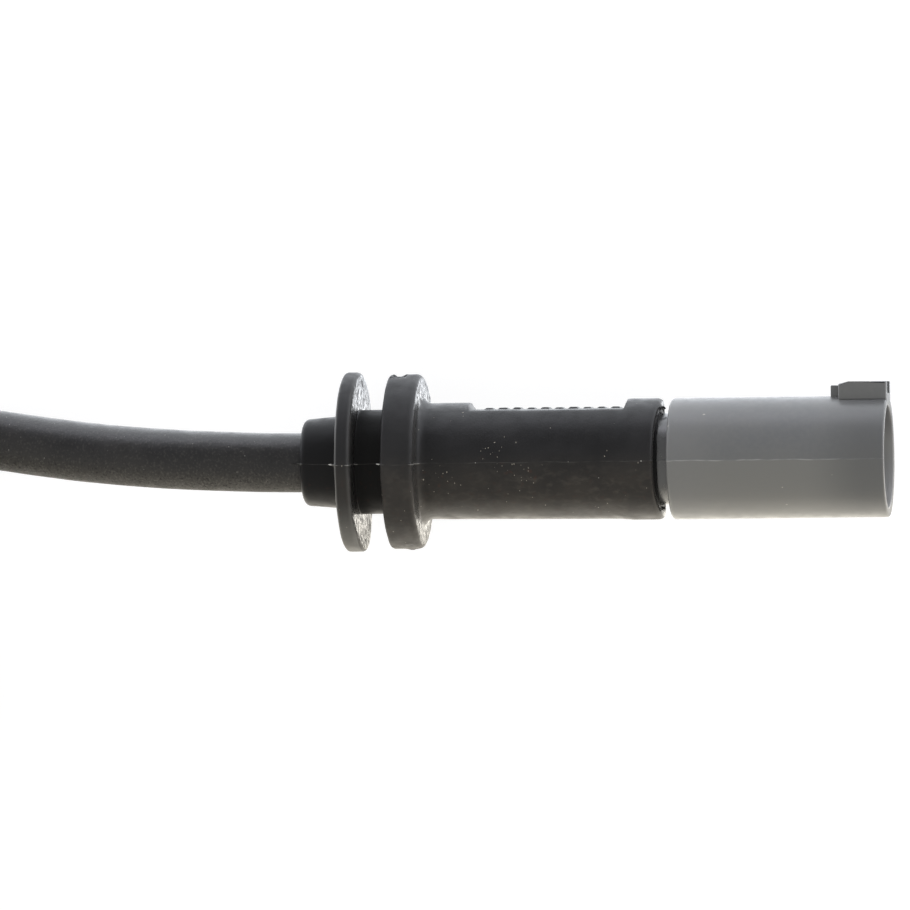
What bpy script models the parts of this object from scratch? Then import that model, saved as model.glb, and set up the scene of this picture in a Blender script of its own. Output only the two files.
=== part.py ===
"""Brake pad wear sensor: two-way round plug, rubber boot, coiled cable and sensing head.

The plug's axis is the X axis, its mouth faces +X and its locking rails point to +Y. The origin is
the centre of the terminal tower's front face, inside the mouth. The part lies on the plane
z = FLOOR_Z: the boot rests there on its two flanges, the cable on its coil, and the head on the coil.
"""
import math

import bmesh
import bpy
from mathutils import Vector

MM = 0.001

# Clearances
GAP = 0.3 * MM
FIT = 0.12 * MM

# Plug shell, one grey moulding
MOUTH_DEPTH = 5.2 * MM
SHELL_LENGTH = 21.66 * MM
SHELL_RADIUS = 5.97 * MM
SHELL_WALL = 0.87 * MM
SOCKET_DEPTH = 14.8 * MM
NECK_RADIUS = 4.55 * MM
NECK_LENGTH = 5.84 * MM
SPIGOT_RADIUS = 3.9 * MM
SPIGOT_LENGTH = 15.2 * MM
BARB_HEIGHT = 0.3 * MM
BARB_LENGTH = 1.6 * MM
BARB_SETBACK = 3.2 * MM
CARRIER_SEAT_DEPTH = 2.5 * MM
RIM_ROUNDING = 0.25 * MM
SHOULDER_ROUNDING = 0.35 * MM

# Locking rails on the shell, and the stop behind them
RAIL_LENGTH = 4.8 * MM
RAIL_WIDTH = 4.3 * MM
RAIL_TOP = 7.55 * MM
RAIL_SLOT_WIDTH = 2.3 * MM
RAIL_SLOT_FLOOR = 6.3 * MM
RAIL_CHAMFER = 0.2 * MM
STOP_LENGTH = 0.9 * MM
STOP_TOP = 7.2 * MM

# Terminal carrier, its retainer and the interface seal
SLEEVE_ROOM = 1.8 * MM
TOWER_ROUNDING = 0.2 * MM
CARRIER_FLANGE = 1.2 * MM
RETAINER_THICKNESS = 0.9 * MM
SEAL_LENGTH = 2.8 * MM
SEAL_LIP = 0.3 * MM
FACE_LIP = 1.0 * MM
FACE_HOLE_RADIUS = 0.6 * MM

# Terminals, wires and their seals
TERMINAL_PITCH = 3.2 * MM
TERMINAL_RADIUS = 0.8 * MM
TERMINAL_HOLE_RADIUS = 0.42 * MM
TERMINAL_HOLE_DEPTH = 6.0 * MM
TERMINAL_BARREL = 12.5 * MM
TERMINAL_SHANK = 4.0 * MM
TERMINAL_SHANK_RADIUS = 0.6 * MM
CRIMP_LENGTH = 5.5 * MM
CRIMP_HOLD = 3.85 * MM
CRIMP_WALL = 0.18 * MM
CORE_RADIUS = 0.7 * MM
CORE_SPACING = 2.2 * MM
CORE_SPREAD_LENGTH = 4.6 * MM
JACKET_BARE = 1.5 * MM
WIRE_SEAL_RADIUS = 1.25 * MM
WIRE_SEAL_LENGTH = 5.6 * MM
WIRE_SEAL_LIP = 0.2 * MM

# Rubber boot, one moulding
NECK_GAP = 1.25 * MM
COLLAR_LENGTH = 3.34 * MM
COLLAR_RADIUS = 5.95 * MM
COLLAR_MOUTH_RADIUS = 5.05 * MM
COLLAR_MOUTH_DEPTH = 1.1 * MM
COLLAR_ROUNDING = 0.3 * MM
BARREL_RADIUS = 5.7 * MM
FLAT_LENGTH = 15.5 * MM
FLAT_HEIGHT = 5.0 * MM
PAD_LENGTH = 5.1 * MM
FLANGE_RADIUS = 8.6 * MM
FLANGE_THICKNESS = 3.05 * MM
FLANGE_ROUNDING = 0.5 * MM
FLANGE_FILLET = 0.9 * MM
GROOVE_WIDTH = 3.18 * MM
GROOVE_RADIUS = 5.17 * MM
DISC_RADIUS = 8.85 * MM
DISC_THICKNESS = 1.43 * MM
DISC_ROUNDING = 0.3 * MM
NOSE_LENGTH = 4.2 * MM
NOSE_BASE_RADIUS = 4.5 * MM
NOSE_TIP_RADIUS = 4.15 * MM
NOSE_ROUNDING = 0.65 * MM
RIB_COUNT = 10
RIB_PITCH = 1.406 * MM
RIB_WIDTH = 0.8 * MM
RIB_HEIGHT = 0.33 * MM
RIB_SPAN = 3.2 * MM
RIB_ROOT = 0.3 * MM

# Cable: its route runs back from the nose; each point is (back, to +Y, share of the drop)
CABLE_DIAMETER = 5.9 * MM
ROUTE = (
    (0.30, 0.00, 0.000),
    (3.30, 0.04, 0.002),
    (6.50, 0.16, 0.022),
    (12.5, 0.49, 0.130),
    (18.5, 1.00, 0.335),
    (24.5, 1.70, 0.575),
    (31.0, 2.66, 0.805),
    (36.5, 3.53, 0.935),
    (43.8, 4.69, 1.000),
)
ROUTE_POINT_SPACING = 1.5
FLOOR_CLEARANCE = 0.02 * MM

# Coil of three turns, two on the surface and one lying on them. In the bundle's section its flank
# that faces the coil's hole looks to the bundle's flank turn.
COIL_BACK = 68.9 * MM
COIL_SIDE = -24.7 * MM
COIL_RADIUS = 29.5 * MM
BUNDLE_FLANK_TURN = math.radians(150)

# Storage tie round the coil
TIE_ANGLE = math.radians(165)
TIE_WIDTH = 3.2 * MM
TIE_THICKNESS = 0.8 * MM
TIE_LIFT = 1.2 * MM
TIE_LOCK = (4.4 * MM, 3.4 * MM, 4.4 * MM)
TIE_TAIL = 7.0 * MM
TIE_TAIL_LEVEL = 1.54 * MM

# Sensing head; its axis runs along +X from the end of the cable
HEAD_BACK = 5.5 * MM
HEAD_SIDE = 26.4 * MM
RELIEF_LENGTH = 6.7 * MM
RELIEF_TIP_RADIUS = 3.45 * MM
RELIEF_BASE_RADIUS = 3.9 * MM
RELIEF_GROOVES = 3
RELIEF_GROOVE_DEPTH = 0.25 * MM
HEAD_LENGTH = 19.0 * MM
HEAD_WIDTH = 9.6 * MM
HEAD_HEIGHT = 8.0 * MM
HEAD_ROUNDING = 0.8 * MM
TIP_LENGTH = 4.0 * MM
TIP_WIDTH = 6.0 * MM
TIP_HEIGHT = 5.2 * MM
TIP_WALL = 0.9 * MM
HEAD_BORE_DEPTH = 5.0 * MM
POCKET_LENGTH = 10.0 * MM
POCKET_WIDTH = 6.6 * MM
POCKET_FLOOR = 1.6 * MM
COVER_THICKNESS = 1.0 * MM
COVER_OVERLAP = 0.7 * MM
LOOP_WIRE_RADIUS = 0.4 * MM
LOOP_SPACING = 3.2 * MM
SPLICE_LENGTH = 3.0 * MM
SPLICE_WALL = 0.22 * MM
CLIP_LENGTH = 5.0 * MM
CLIP_SETBACK = 7.5 * MM
CLIP_THICKNESS = 0.4 * MM
CLIP_DROP = 6.9 * MM
CLIP_FLARE = 1.7 * MM
CLIP_HOOK = 2.4 * MM
CLIP_BEND = 0.6 * MM

# Fineness of round shapes
LARGE_SIDES = 48
MEDIUM_SIDES = 32
SMALL_SIDES = 16
FILLET_STEPS = 2
BEND_STEPS = 8
MERGE_DISTANCE = 1e-6

# Stations along the X axis, front to back
RIM_X = MOUTH_DEPTH
SOCKET_FLOOR_X = RIM_X - SOCKET_DEPTH
CARRIER_SEAT_X = SOCKET_FLOOR_X - CARRIER_SEAT_DEPTH
SHOULDER_X = RIM_X - SHELL_LENGTH
NECK_BACK_X = SHOULDER_X - NECK_LENGTH
SPIGOT_BACK_X = NECK_BACK_X - SPIGOT_LENGTH
BARB_BACK_X = SPIGOT_BACK_X + BARB_SETBACK
BARB_FRONT_X = BARB_BACK_X + BARB_LENGTH
JACKET_FRONT_X = SPIGOT_BACK_X - CORE_SPREAD_LENGTH
COLLAR_FRONT_X = SHOULDER_X - NECK_GAP
COLLAR_BACK_X = COLLAR_FRONT_X - COLLAR_LENGTH
FLAT_BACK_X = COLLAR_BACK_X - FLAT_LENGTH
FLANGE_FRONT_X = FLAT_BACK_X - PAD_LENGTH
GROOVE_FRONT_X = FLANGE_FRONT_X - FLANGE_THICKNESS
GROOVE_BACK_X = GROOVE_FRONT_X - GROOVE_WIDTH
DISC_BACK_X = GROOVE_BACK_X - DISC_THICKNESS
NOSE_X = DISC_BACK_X - NOSE_LENGTH
TERMINAL_FRONT_X = -FACE_LIP - FIT
CRIMP_FRONT_X = TERMINAL_FRONT_X - TERMINAL_BARREL - TERMINAL_SHANK
CRIMP_BACK_X = CRIMP_FRONT_X - CRIMP_LENGTH
CRIMP_STOP_X = CRIMP_BACK_X + CRIMP_HOLD

# Bores that follow from what goes through them
CABLE_RADIUS = CABLE_DIAMETER / 2
CABLE_BORE = CABLE_RADIUS + FIT
SOCKET_RADIUS = SHELL_RADIUS - SHELL_WALL
TOWER_RADIUS = SOCKET_RADIUS - SLEEVE_ROOM
BOOT_BORE = SPIGOT_RADIUS + FIT
BARB_RADIUS = SPIGOT_RADIUS + BARB_HEIGHT
CRIMP_BORE = CORE_RADIUS + FIT
CRIMP_RADIUS = CRIMP_BORE + CRIMP_WALL
TERMINAL_BORE = max(CRIMP_RADIUS, TERMINAL_RADIUS) + FIT
WIRE_SEAL_BORE = WIRE_SEAL_RADIUS + FIT

# Levels and places of what lies on the surface
FLOOR_Z = -max(DISC_RADIUS, FLANGE_RADIUS)
CABLE_DROP = -FLOOR_Z - CABLE_RADIUS - FLOOR_CLEARANCE
COIL_X = NOSE_X - COIL_BACK
COIL_Y = COIL_SIDE
LAYER_RISE = CABLE_DIAMETER * math.sin(math.radians(60))
COIL_FIRST_LAYER_TOP = FLOOR_Z + FLOOR_CLEARANCE + CABLE_DIAMETER
HEAD_X = COIL_X - HEAD_BACK
HEAD_Y = COIL_Y - HEAD_SIDE
HEAD_Z = COIL_FIRST_LAYER_TOP + GAP + HEAD_HEIGHT / 2

# Stations along the head's own axis, from the rear of its strain relief
BODY_START = RELIEF_LENGTH + GAP
BODY_END = BODY_START + HEAD_LENGTH
TIP_END = BODY_END + TIP_LENGTH
HEAD_JACKET_END = BODY_START + HEAD_BORE_DEPTH
POCKET_START = HEAD_JACKET_END + FIT
POCKET_END = POCKET_START + POCKET_LENGTH
SPLICE_END = POCKET_END - GAP
SPLICE_START = SPLICE_END - SPLICE_LENGTH
SPLICE_MIDDLE = (SPLICE_START + SPLICE_END) / 2
LOOP_BEND = TIP_END - TIP_WALL - GAP - LOOP_WIRE_RADIUS - LOOP_SPACING / 2


def collection(name):
    made = bpy.data.collections.new(name)
    bpy.context.scene.collection.children.link(made)
    return made


def material(name, colour, roughness, metallic=0.0):
    made = bpy.data.materials.new(name)
    made.use_nodes = True
    shader = made.node_tree.nodes["Principled BSDF"]
    shader.inputs["Base Color"].default_value = (*colour, 1.0)
    shader.inputs["Roughness"].default_value = roughness
    shader.inputs["Metallic"].default_value = metallic
    made.diffuse_color = (*colour, 1.0)
    return made


def add(name, data, surface=None):
    """Link an object: a piece with its own material, or without one a guide that others use."""
    made = bpy.data.objects.new(name, data)
    if surface:
        data.materials.append(surface)
    else:
        made.hide_render = True
        made.display_type = "WIRE"
    (PARTS if surface else GUIDES).objects.link(made)
    return made


def place(made, location=(0.0, 0.0, 0.0), rotation=(0.0, 0.0, 0.0), parent=None):
    made.location = location
    made.rotation_euler = rotation
    made.parent = parent
    return made


def box(name, low, high, surface=None, rounding=0.0, parent=None):
    """A block between two corners of its parent's frame, its edges rounded if asked."""
    shape = bmesh.new()
    bmesh.ops.create_cube(shape, size=1.0)
    size = [b - a for a, b in zip(low, high)]
    bmesh.ops.scale(shape, vec=size, verts=shape.verts)
    mesh = bpy.data.meshes.new(name)
    shape.to_mesh(mesh)
    shape.free()
    made = place(add(name, mesh, surface), [(a + b) / 2 for a, b in zip(low, high)], parent=parent)
    if rounding:
        bevel = made.modifiers.new("rounding", "BEVEL")
        bevel.width = rounding
        bevel.segments = FILLET_STEPS
    return made


def rounded(corners, closed=True, steps=FILLET_STEPS):
    """Points of an outline through corners (a, b, fillet), each fillet an arc tangent to both sides."""
    points = []
    last = len(corners) - 1
    for i, (a, b, fillet) in enumerate(corners):
        here = Vector((a, b))
        if not fillet or (not closed and i in (0, last)):
            points.append(here)
            continue
        before = (Vector(corners[i - 1][:2]) - here).normalized()
        after = (Vector(corners[(i + 1) % len(corners)][:2]) - here).normalized()
        half = before.angle(after) / 2
        centre = here + (before + after).normalized() * fillet / math.sin(half)
        start = here + before * fillet / math.tan(half) - centre
        end = here + after * fillet / math.tan(half) - centre
        turn = math.atan2(start.x * end.y - start.y * end.x, start.dot(end))
        for k in range(steps + 1):
            angle = math.atan2(start.y, start.x) + turn * k / steps
            points.append(centre + fillet * Vector((math.cos(angle), math.sin(angle))))
    return points


def turned(name, profile, sides, surface=None, hollow=False, centre=(0.0, 0.0), parent=None):
    """A solid turned about a line along X through centre (y, z).

    The profile's points are (x, radius). They run along the outside from the +X end to the -X end,
    and, where the piece is hollow, back along its bore.
    """
    shape = bmesh.new()
    verts = [shape.verts.new((radius, 0.0, x)) for x, radius in profile]
    for a, b in zip(verts, verts[1:]):
        shape.edges.new((a, b))
    if hollow:
        shape.edges.new((verts[-1], verts[0]))
    mesh = bpy.data.meshes.new(name)
    shape.to_mesh(mesh)
    shape.free()
    made = add(name, mesh, surface)
    place(made, (0.0, *centre), (0.0, math.radians(90), 0.0), parent)
    revolve(made, sides)
    return made


def revolve(made, sides):
    screw = made.modifiers.new("revolve", "SCREW")
    screw.axis = "Z"
    screw.angle = 2 * math.pi
    screw.steps = sides
    screw.render_steps = sides
    screw.use_merge_vertices = True
    screw.merge_threshold = MERGE_DISTANCE
    screw.use_smooth_shade = True


def rod(name, front, back, radius, sides, surface=None, centre=(0.0, 0.0), parent=None):
    profile = [(front, 0.0), (front, radius), (back, radius), (back, 0.0)]
    return turned(name, profile, sides, surface, centre=centre, parent=parent)


def combine(target, tool, operation="DIFFERENCE"):
    cut = target.modifiers.new(f"{operation.lower()}_{tool.name}", "BOOLEAN")
    cut.object = tool
    cut.operation = operation
    cut.solver = "EXACT"


def meshed(curve_object, name, surface=None, parent=None):
    """Replace a curve object by the closed mesh it draws."""
    bpy.context.view_layer.update()
    source = curve_object.evaluated_get(bpy.context.evaluated_depsgraph_get())
    mesh = bpy.data.meshes.new_from_object(source)
    mesh.name = name
    shape = bmesh.new()
    shape.from_mesh(mesh)
    bmesh.ops.remove_doubles(shape, verts=shape.verts, dist=MERGE_DISTANCE)
    shape.to_mesh(mesh)
    shape.free()
    mesh.materials.clear()
    matrix = curve_object.matrix_world.copy()
    bpy.data.objects.remove(curve_object)
    made = add(name, mesh, surface)
    made.parent = parent
    made.matrix_world = matrix
    return made


def plate(name, outlines, thickness, surface=None, location=(0.0, 0.0, 0.0), rotation=(0.0, 0.0, 0.0)):
    """A flat piece from outlines in its own XY plane, inner ones being holes, centred on that plane."""
    flat = bpy.data.curves.new(f"{name}_outline", "CURVE")
    flat.dimensions = "2D"
    flat.fill_mode = "BOTH"
    flat.extrude = thickness / 2
    for outline in outlines:
        spline = flat.splines.new("POLY")
        spline.points.add(len(outline) - 1)
        for point, (x, y) in zip(spline.points, outline):
            point.co = (x, y, 0.0, 1.0)
        spline.use_cyclic_u = True
    drawn = place(add(f"{name}_curve", flat), location, rotation)
    return meshed(drawn, name, surface)


def tube(name, points, radius, surface, parent=None, roundness=2):
    line = bpy.data.curves.new(name, "CURVE")
    line.dimensions = "3D"
    line.bevel_depth = radius
    line.bevel_resolution = roundness
    line.use_fill_caps = True
    spline = line.splines.new("POLY")
    spline.points.add(len(points) - 1)
    for point, position in zip(spline.points, points):
        point.co = (*position, 1.0)
    return place(add(name, line, surface), parent=parent)


def smooth_route(points, spacing):
    """Points a given distance apart along a smooth curve through the route's own points."""
    ends = [2 * points[0] - points[1], *points, 2 * points[-1] - points[-2]]
    fine = []
    for before, a, b, after in zip(ends, ends[1:], ends[2:], ends[3:]):
        for k in range(20):
            t = k / 20
            fine.append(
                0.5
                * (
                    2 * a
                    + (b - before) * t
                    + (2 * before - 5 * a + 4 * b - after) * t**2
                    + (3 * a - before - 3 * b + after) * t**3
                )
            )
    fine.append(points[-1])
    travelled = [0.0]
    for a, b in zip(fine, fine[1:]):
        travelled.append(travelled[-1] + (b - a).length)
    pieces = max(2, round(travelled[-1] / spacing))
    spaced = [fine[0]]
    for k in range(1, pieces):
        wanted = travelled[-1] * k / pieces
        i = next(i for i, far in enumerate(travelled) if far >= wanted)
        share = (wanted - travelled[i - 1]) / (travelled[i] - travelled[i - 1])
        spaced.append(fine[i - 1].lerp(fine[i], share))
    return [*spaced, fine[-1]]


def ease(t):
    t = min(max(t, 0.0), 1.0)
    return t * t * (3 - 2 * t)


def make_shell():
    """Mouth tube, bulkhead, neck and barbed spigot in one, with the rails and their stop on top."""
    profile = rounded(
        [
            (CARRIER_SEAT_X, 0.0, 0.0),
            (CARRIER_SEAT_X, TOWER_RADIUS + FIT, 0.0),
            (SOCKET_FLOOR_X, TOWER_RADIUS + FIT, 0.0),
            (SOCKET_FLOOR_X, SOCKET_RADIUS, 0.0),
            (RIM_X, SOCKET_RADIUS, 0.0),
            (RIM_X, SHELL_RADIUS, RIM_ROUNDING),
            (SHOULDER_X, SHELL_RADIUS, SHOULDER_ROUNDING),
            (SHOULDER_X, NECK_RADIUS, 0.0),
            (NECK_BACK_X, NECK_RADIUS, 0.0),
            (NECK_BACK_X, SPIGOT_RADIUS, 0.0),
            (BARB_FRONT_X, SPIGOT_RADIUS, 0.0),
            (BARB_FRONT_X, BARB_RADIUS, 0.0),
            (BARB_BACK_X, SPIGOT_RADIUS, 0.0),
            (SPIGOT_BACK_X, SPIGOT_RADIUS, 0.0),
            (SPIGOT_BACK_X, 0.0, 0.0),
        ],
        closed=False,
    )
    shell = turned("connector_shell", profile, LARGE_SIDES, GREY_PLASTIC)

    rail_back = RIM_X - RAIL_LENGTH
    root = (SHELL_RADIUS + SOCKET_RADIUS) / 2
    side_view = [
        (RIM_X - RIM_ROUNDING / 2, root),
        (RIM_X - RIM_ROUNDING / 2, RAIL_TOP),
        (rail_back + RAIL_CHAMFER, RAIL_TOP),
        (rail_back, RAIL_TOP - RAIL_CHAMFER),
        (rail_back, STOP_TOP),
        (rail_back - STOP_LENGTH, STOP_TOP),
        (rail_back - STOP_LENGTH, root),
    ]
    rails = plate("rail_block", [side_view], RAIL_WIDTH)
    slot = box(
        "rail_slot",
        (rail_back, RAIL_SLOT_FLOOR, -RAIL_SLOT_WIDTH / 2),
        (RIM_X + RAIL_LENGTH, RAIL_TOP + RAIL_LENGTH, RAIL_SLOT_WIDTH / 2),
    )
    combine(rails, slot)
    combine(shell, rails, "UNION")

    seal_floor = SPIGOT_BACK_X + WIRE_SEAL_LENGTH + GAP
    for side, z in SIDES:
        bore = turned(
            f"wire_bore_{side}",
            [
                (CARRIER_SEAT_X + GAP, 0.0),
                (CARRIER_SEAT_X + GAP, TERMINAL_BORE),
                (seal_floor, TERMINAL_BORE),
                (seal_floor, WIRE_SEAL_BORE),
                (SPIGOT_BACK_X - GAP, WIRE_SEAL_BORE),
                (SPIGOT_BACK_X - GAP, 0.0),
            ],
            SMALL_SIDES,
            centre=(0.0, z),
        )
        combine(shell, bore)


def make_carrier():
    """The insulating insert: a boss in the bulkhead, a flange on it, and the tower with its two holes."""
    flange_front = SOCKET_FLOOR_X + FIT + CARRIER_FLANGE
    carrier = turned(
        "terminal_carrier",
        rounded(
            [
                (0.0, 0.0, 0.0),
                (0.0, TOWER_RADIUS, TOWER_ROUNDING),
                (flange_front, TOWER_RADIUS, 0.0),
                (flange_front, SOCKET_RADIUS - FIT, 0.0),
                (SOCKET_FLOOR_X + FIT, SOCKET_RADIUS - FIT, 0.0),
                (SOCKET_FLOOR_X + FIT, TOWER_RADIUS, 0.0),
                (CARRIER_SEAT_X + FIT, TOWER_RADIUS, 0.0),
                (CARRIER_SEAT_X + FIT, 0.0, 0.0),
            ],
            closed=False,
        ),
        MEDIUM_SIDES,
        BLACK_PLASTIC,
    )
    for side, z in SIDES:
        cavity = turned(
            f"terminal_cavity_{side}",
            [
                (GAP, 0.0),
                (GAP, FACE_HOLE_RADIUS),
                (-FACE_LIP, FACE_HOLE_RADIUS),
                (-FACE_LIP, TERMINAL_RADIUS + FIT),
                (CARRIER_SEAT_X - GAP, TERMINAL_RADIUS + FIT),
                (CARRIER_SEAT_X - GAP, 0.0),
            ],
            SMALL_SIDES,
            centre=(0.0, z),
        )
        combine(carrier, cavity)

    retainer_back = flange_front + FIT
    retainer_front = retainer_back + RETAINER_THICKNESS
    turned(
        "carrier_retainer",
        [
            (retainer_front, TOWER_RADIUS + FIT),
            (retainer_front, SOCKET_RADIUS - FIT),
            (retainer_back, SOCKET_RADIUS - FIT),
            (retainer_back, TOWER_RADIUS + FIT),
        ],
        MEDIUM_SIDES,
        WHITE_PLASTIC,
        hollow=True,
    )
    make_ring_seal(
        "interface_seal", retainer_front + FIT, SEAL_LENGTH, TOWER_RADIUS + FIT, SOCKET_RADIUS - FIT, SEAL_LIP
    )


def lips(back, length, radius, depth, count):
    """The outer side of a lipped seal, front to back: count lips with round-bottomed valleys between."""
    pitch = length / (2 * count - 1)
    points = []
    for k in range(2 * count - 1):
        front = back + length - k * pitch
        level = radius - depth * (k % 2)
        points += [(front, level), (front - pitch, level)]
    return points


def make_ring_seal(name, back, length, inner, outer, lip):
    profile = [*lips(back, length, outer, lip, 2), (back, inner), (back + length, inner)]
    turned(name, profile, MEDIUM_SIDES, ORANGE_SILICONE, hollow=True)


def make_terminals():
    """Each terminal is a socket barrel, a thin shank and a crimp that closes on the end of its wire."""
    for side, z in SIDES:
        barrel_back = TERMINAL_FRONT_X - TERMINAL_BARREL
        turned(
            f"terminal_{side}",
            [
                (TERMINAL_FRONT_X - TERMINAL_HOLE_DEPTH, 0.0),
                (TERMINAL_FRONT_X - TERMINAL_HOLE_DEPTH, TERMINAL_HOLE_RADIUS),
                (TERMINAL_FRONT_X, TERMINAL_HOLE_RADIUS),
                (TERMINAL_FRONT_X, TERMINAL_RADIUS),
                (barrel_back, TERMINAL_RADIUS),
                (barrel_back, TERMINAL_SHANK_RADIUS),
                (CRIMP_FRONT_X, TERMINAL_SHANK_RADIUS),
                (CRIMP_FRONT_X, CRIMP_RADIUS),
                (CRIMP_BACK_X, CRIMP_RADIUS),
                (CRIMP_BACK_X, CRIMP_BORE),
                (CRIMP_STOP_X, CRIMP_BORE),
                (CRIMP_STOP_X, 0.0),
            ],
            SMALL_SIDES,
            BRASS,
            centre=(0.0, z),
        )
        seal_back = SPIGOT_BACK_X + GAP / 2
        turned(
            f"wire_seal_{side}",
            [
                *lips(seal_back, WIRE_SEAL_LENGTH, WIRE_SEAL_RADIUS, WIRE_SEAL_LIP, 3),
                (seal_back, CORE_RADIUS + FIT),
                (seal_back + WIRE_SEAL_LENGTH, CORE_RADIUS + FIT),
            ],
            SMALL_SIDES,
            ORANGE_SILICONE,
            hollow=True,
            centre=(0.0, z),
        )


def spread_wire(start, end, straight_from, spacing_start, spacing_end, sign):
    """Points (along, across) of a wire that eases from the cable's spacing to its terminal's."""
    points = []
    for k in range(BEND_STEPS + 1):
        along = start + (straight_from - start) * k / BEND_STEPS
        across = spacing_start / 2 + (spacing_end - spacing_start) / 2 * ease(k / BEND_STEPS)
        points.append((along, sign * across))
    points.append((end, sign * spacing_end / 2))
    return points


def make_boot_wires():
    rod("cable_end_in_boot", JACKET_FRONT_X, NOSE_X, CABLE_RADIUS, MEDIUM_SIDES, BLACK_JACKET)
    for side, z in SIDES:
        wire = spread_wire(
            JACKET_FRONT_X + FIT,
            CRIMP_STOP_X - FIT,
            SPIGOT_BACK_X - GAP,
            CORE_SPACING,
            TERMINAL_PITCH,
            math.copysign(1.0, z),
        )
        tube(f"wire_{side}", [(x, 0.0, across) for x, across in wire], CORE_RADIUS, WIRE_COLOURS[side])


def make_boot():
    """Nose, thin disc, groove, thick flange, barrel with a ribbed flat on its +Y side, and collar."""
    cavity_back = JACKET_FRONT_X + JACKET_BARE
    neck_bore = NECK_RADIUS + FIT
    outside = [
        (COLLAR_FRONT_X, COLLAR_RADIUS, COLLAR_ROUNDING),
        (COLLAR_BACK_X, COLLAR_RADIUS, 0.0),
        (COLLAR_BACK_X - GAP, BARREL_RADIUS, 0.0),
        (FLANGE_FRONT_X, BARREL_RADIUS, FLANGE_FILLET),
        (FLANGE_FRONT_X, FLANGE_RADIUS, FLANGE_ROUNDING),
        (GROOVE_FRONT_X, FLANGE_RADIUS, FLANGE_ROUNDING),
        (GROOVE_FRONT_X, GROOVE_RADIUS, 0.0),
        (GROOVE_BACK_X, GROOVE_RADIUS, 0.0),
        (GROOVE_BACK_X, DISC_RADIUS, DISC_ROUNDING),
        (DISC_BACK_X, DISC_RADIUS, DISC_ROUNDING),
        (DISC_BACK_X, NOSE_BASE_RADIUS, 0.0),
        (NOSE_X, NOSE_TIP_RADIUS, NOSE_ROUNDING),
    ]
    inside = [
        (NOSE_X, CABLE_BORE, 0.0),
        (cavity_back, CABLE_BORE, 0.0),
        (cavity_back, BOOT_BORE, 0.0),
        (BARB_BACK_X, BOOT_BORE, 0.0),
        (BARB_FRONT_X + FIT, BARB_RADIUS + FIT, 0.0),
        (BARB_FRONT_X + FIT, BOOT_BORE, 0.0),
        (NECK_BACK_X - FIT, BOOT_BORE, 0.0),
        (NECK_BACK_X - FIT, neck_bore, 0.0),
        (COLLAR_FRONT_X - COLLAR_MOUTH_DEPTH, neck_bore, 0.0),
        (COLLAR_FRONT_X, COLLAR_MOUTH_RADIUS, 0.0),
    ]
    boot = turned("rubber_boot", rounded(outside + inside), LARGE_SIDES, BLACK_RUBBER, hollow=True)
    flat = box(
        "flat_cut",
        (FLAT_BACK_X, FLAT_HEIGHT, -BARREL_RADIUS),
        (COLLAR_BACK_X, 2 * FLAT_HEIGHT, BARREL_RADIUS),
    )
    combine(boot, flat)

    first_rib = (FLAT_BACK_X + COLLAR_BACK_X) / 2 - (RIB_COUNT - 1) * RIB_PITCH / 2
    rib = box(
        "flat_ribs",
        (first_rib - RIB_WIDTH / 2, FLAT_HEIGHT - RIB_ROOT, -RIB_SPAN / 2),
        (first_rib + RIB_WIDTH / 2, FLAT_HEIGHT + RIB_HEIGHT, RIB_SPAN / 2),
    )
    row = rib.modifiers.new("row", "ARRAY")
    row.count = RIB_COUNT
    row.use_relative_offset = False
    row.use_constant_offset = True
    row.constant_offset_displace = (RIB_PITCH, 0.0, 0.0)
    row.merge_threshold = MERGE_DISTANCE
    combine(boot, rib, "UNION")


def make_cable_run():
    route = [Vector((NOSE_X - back * MM, side * MM, -CABLE_DROP * share)) for back, side, share in ROUTE]
    points = smooth_route(route, ROUTE_POINT_SPACING * CABLE_DIAMETER)
    tube("cable_run", points, CABLE_RADIUS, BLACK_JACKET, roundness=3)


def bundle(offset=0.0, lift=0.0, steps=5):
    """Outline (radius, z) round the coil's three turns, run from the top down the outer side."""
    first_z = FLOOR_Z + FLOOR_CLEARANCE + CABLE_RADIUS + lift
    turns = (
        (COIL_RADIUS, first_z + LAYER_RISE),
        (COIL_RADIUS + CABLE_RADIUS, first_z),
        (COIL_RADIUS - CABLE_RADIUS, first_z),
    )
    arc = 2 * math.pi / len(turns)
    reach = CABLE_RADIUS + offset
    points = []
    for i, (radius, z) in enumerate(turns):
        for k in range(steps + 1):
            angle = BUNDLE_FLANK_TURN - arc * (i + k / steps)
            points.append((radius + reach * math.cos(angle), z + reach * math.sin(angle)))
    return points


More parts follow.
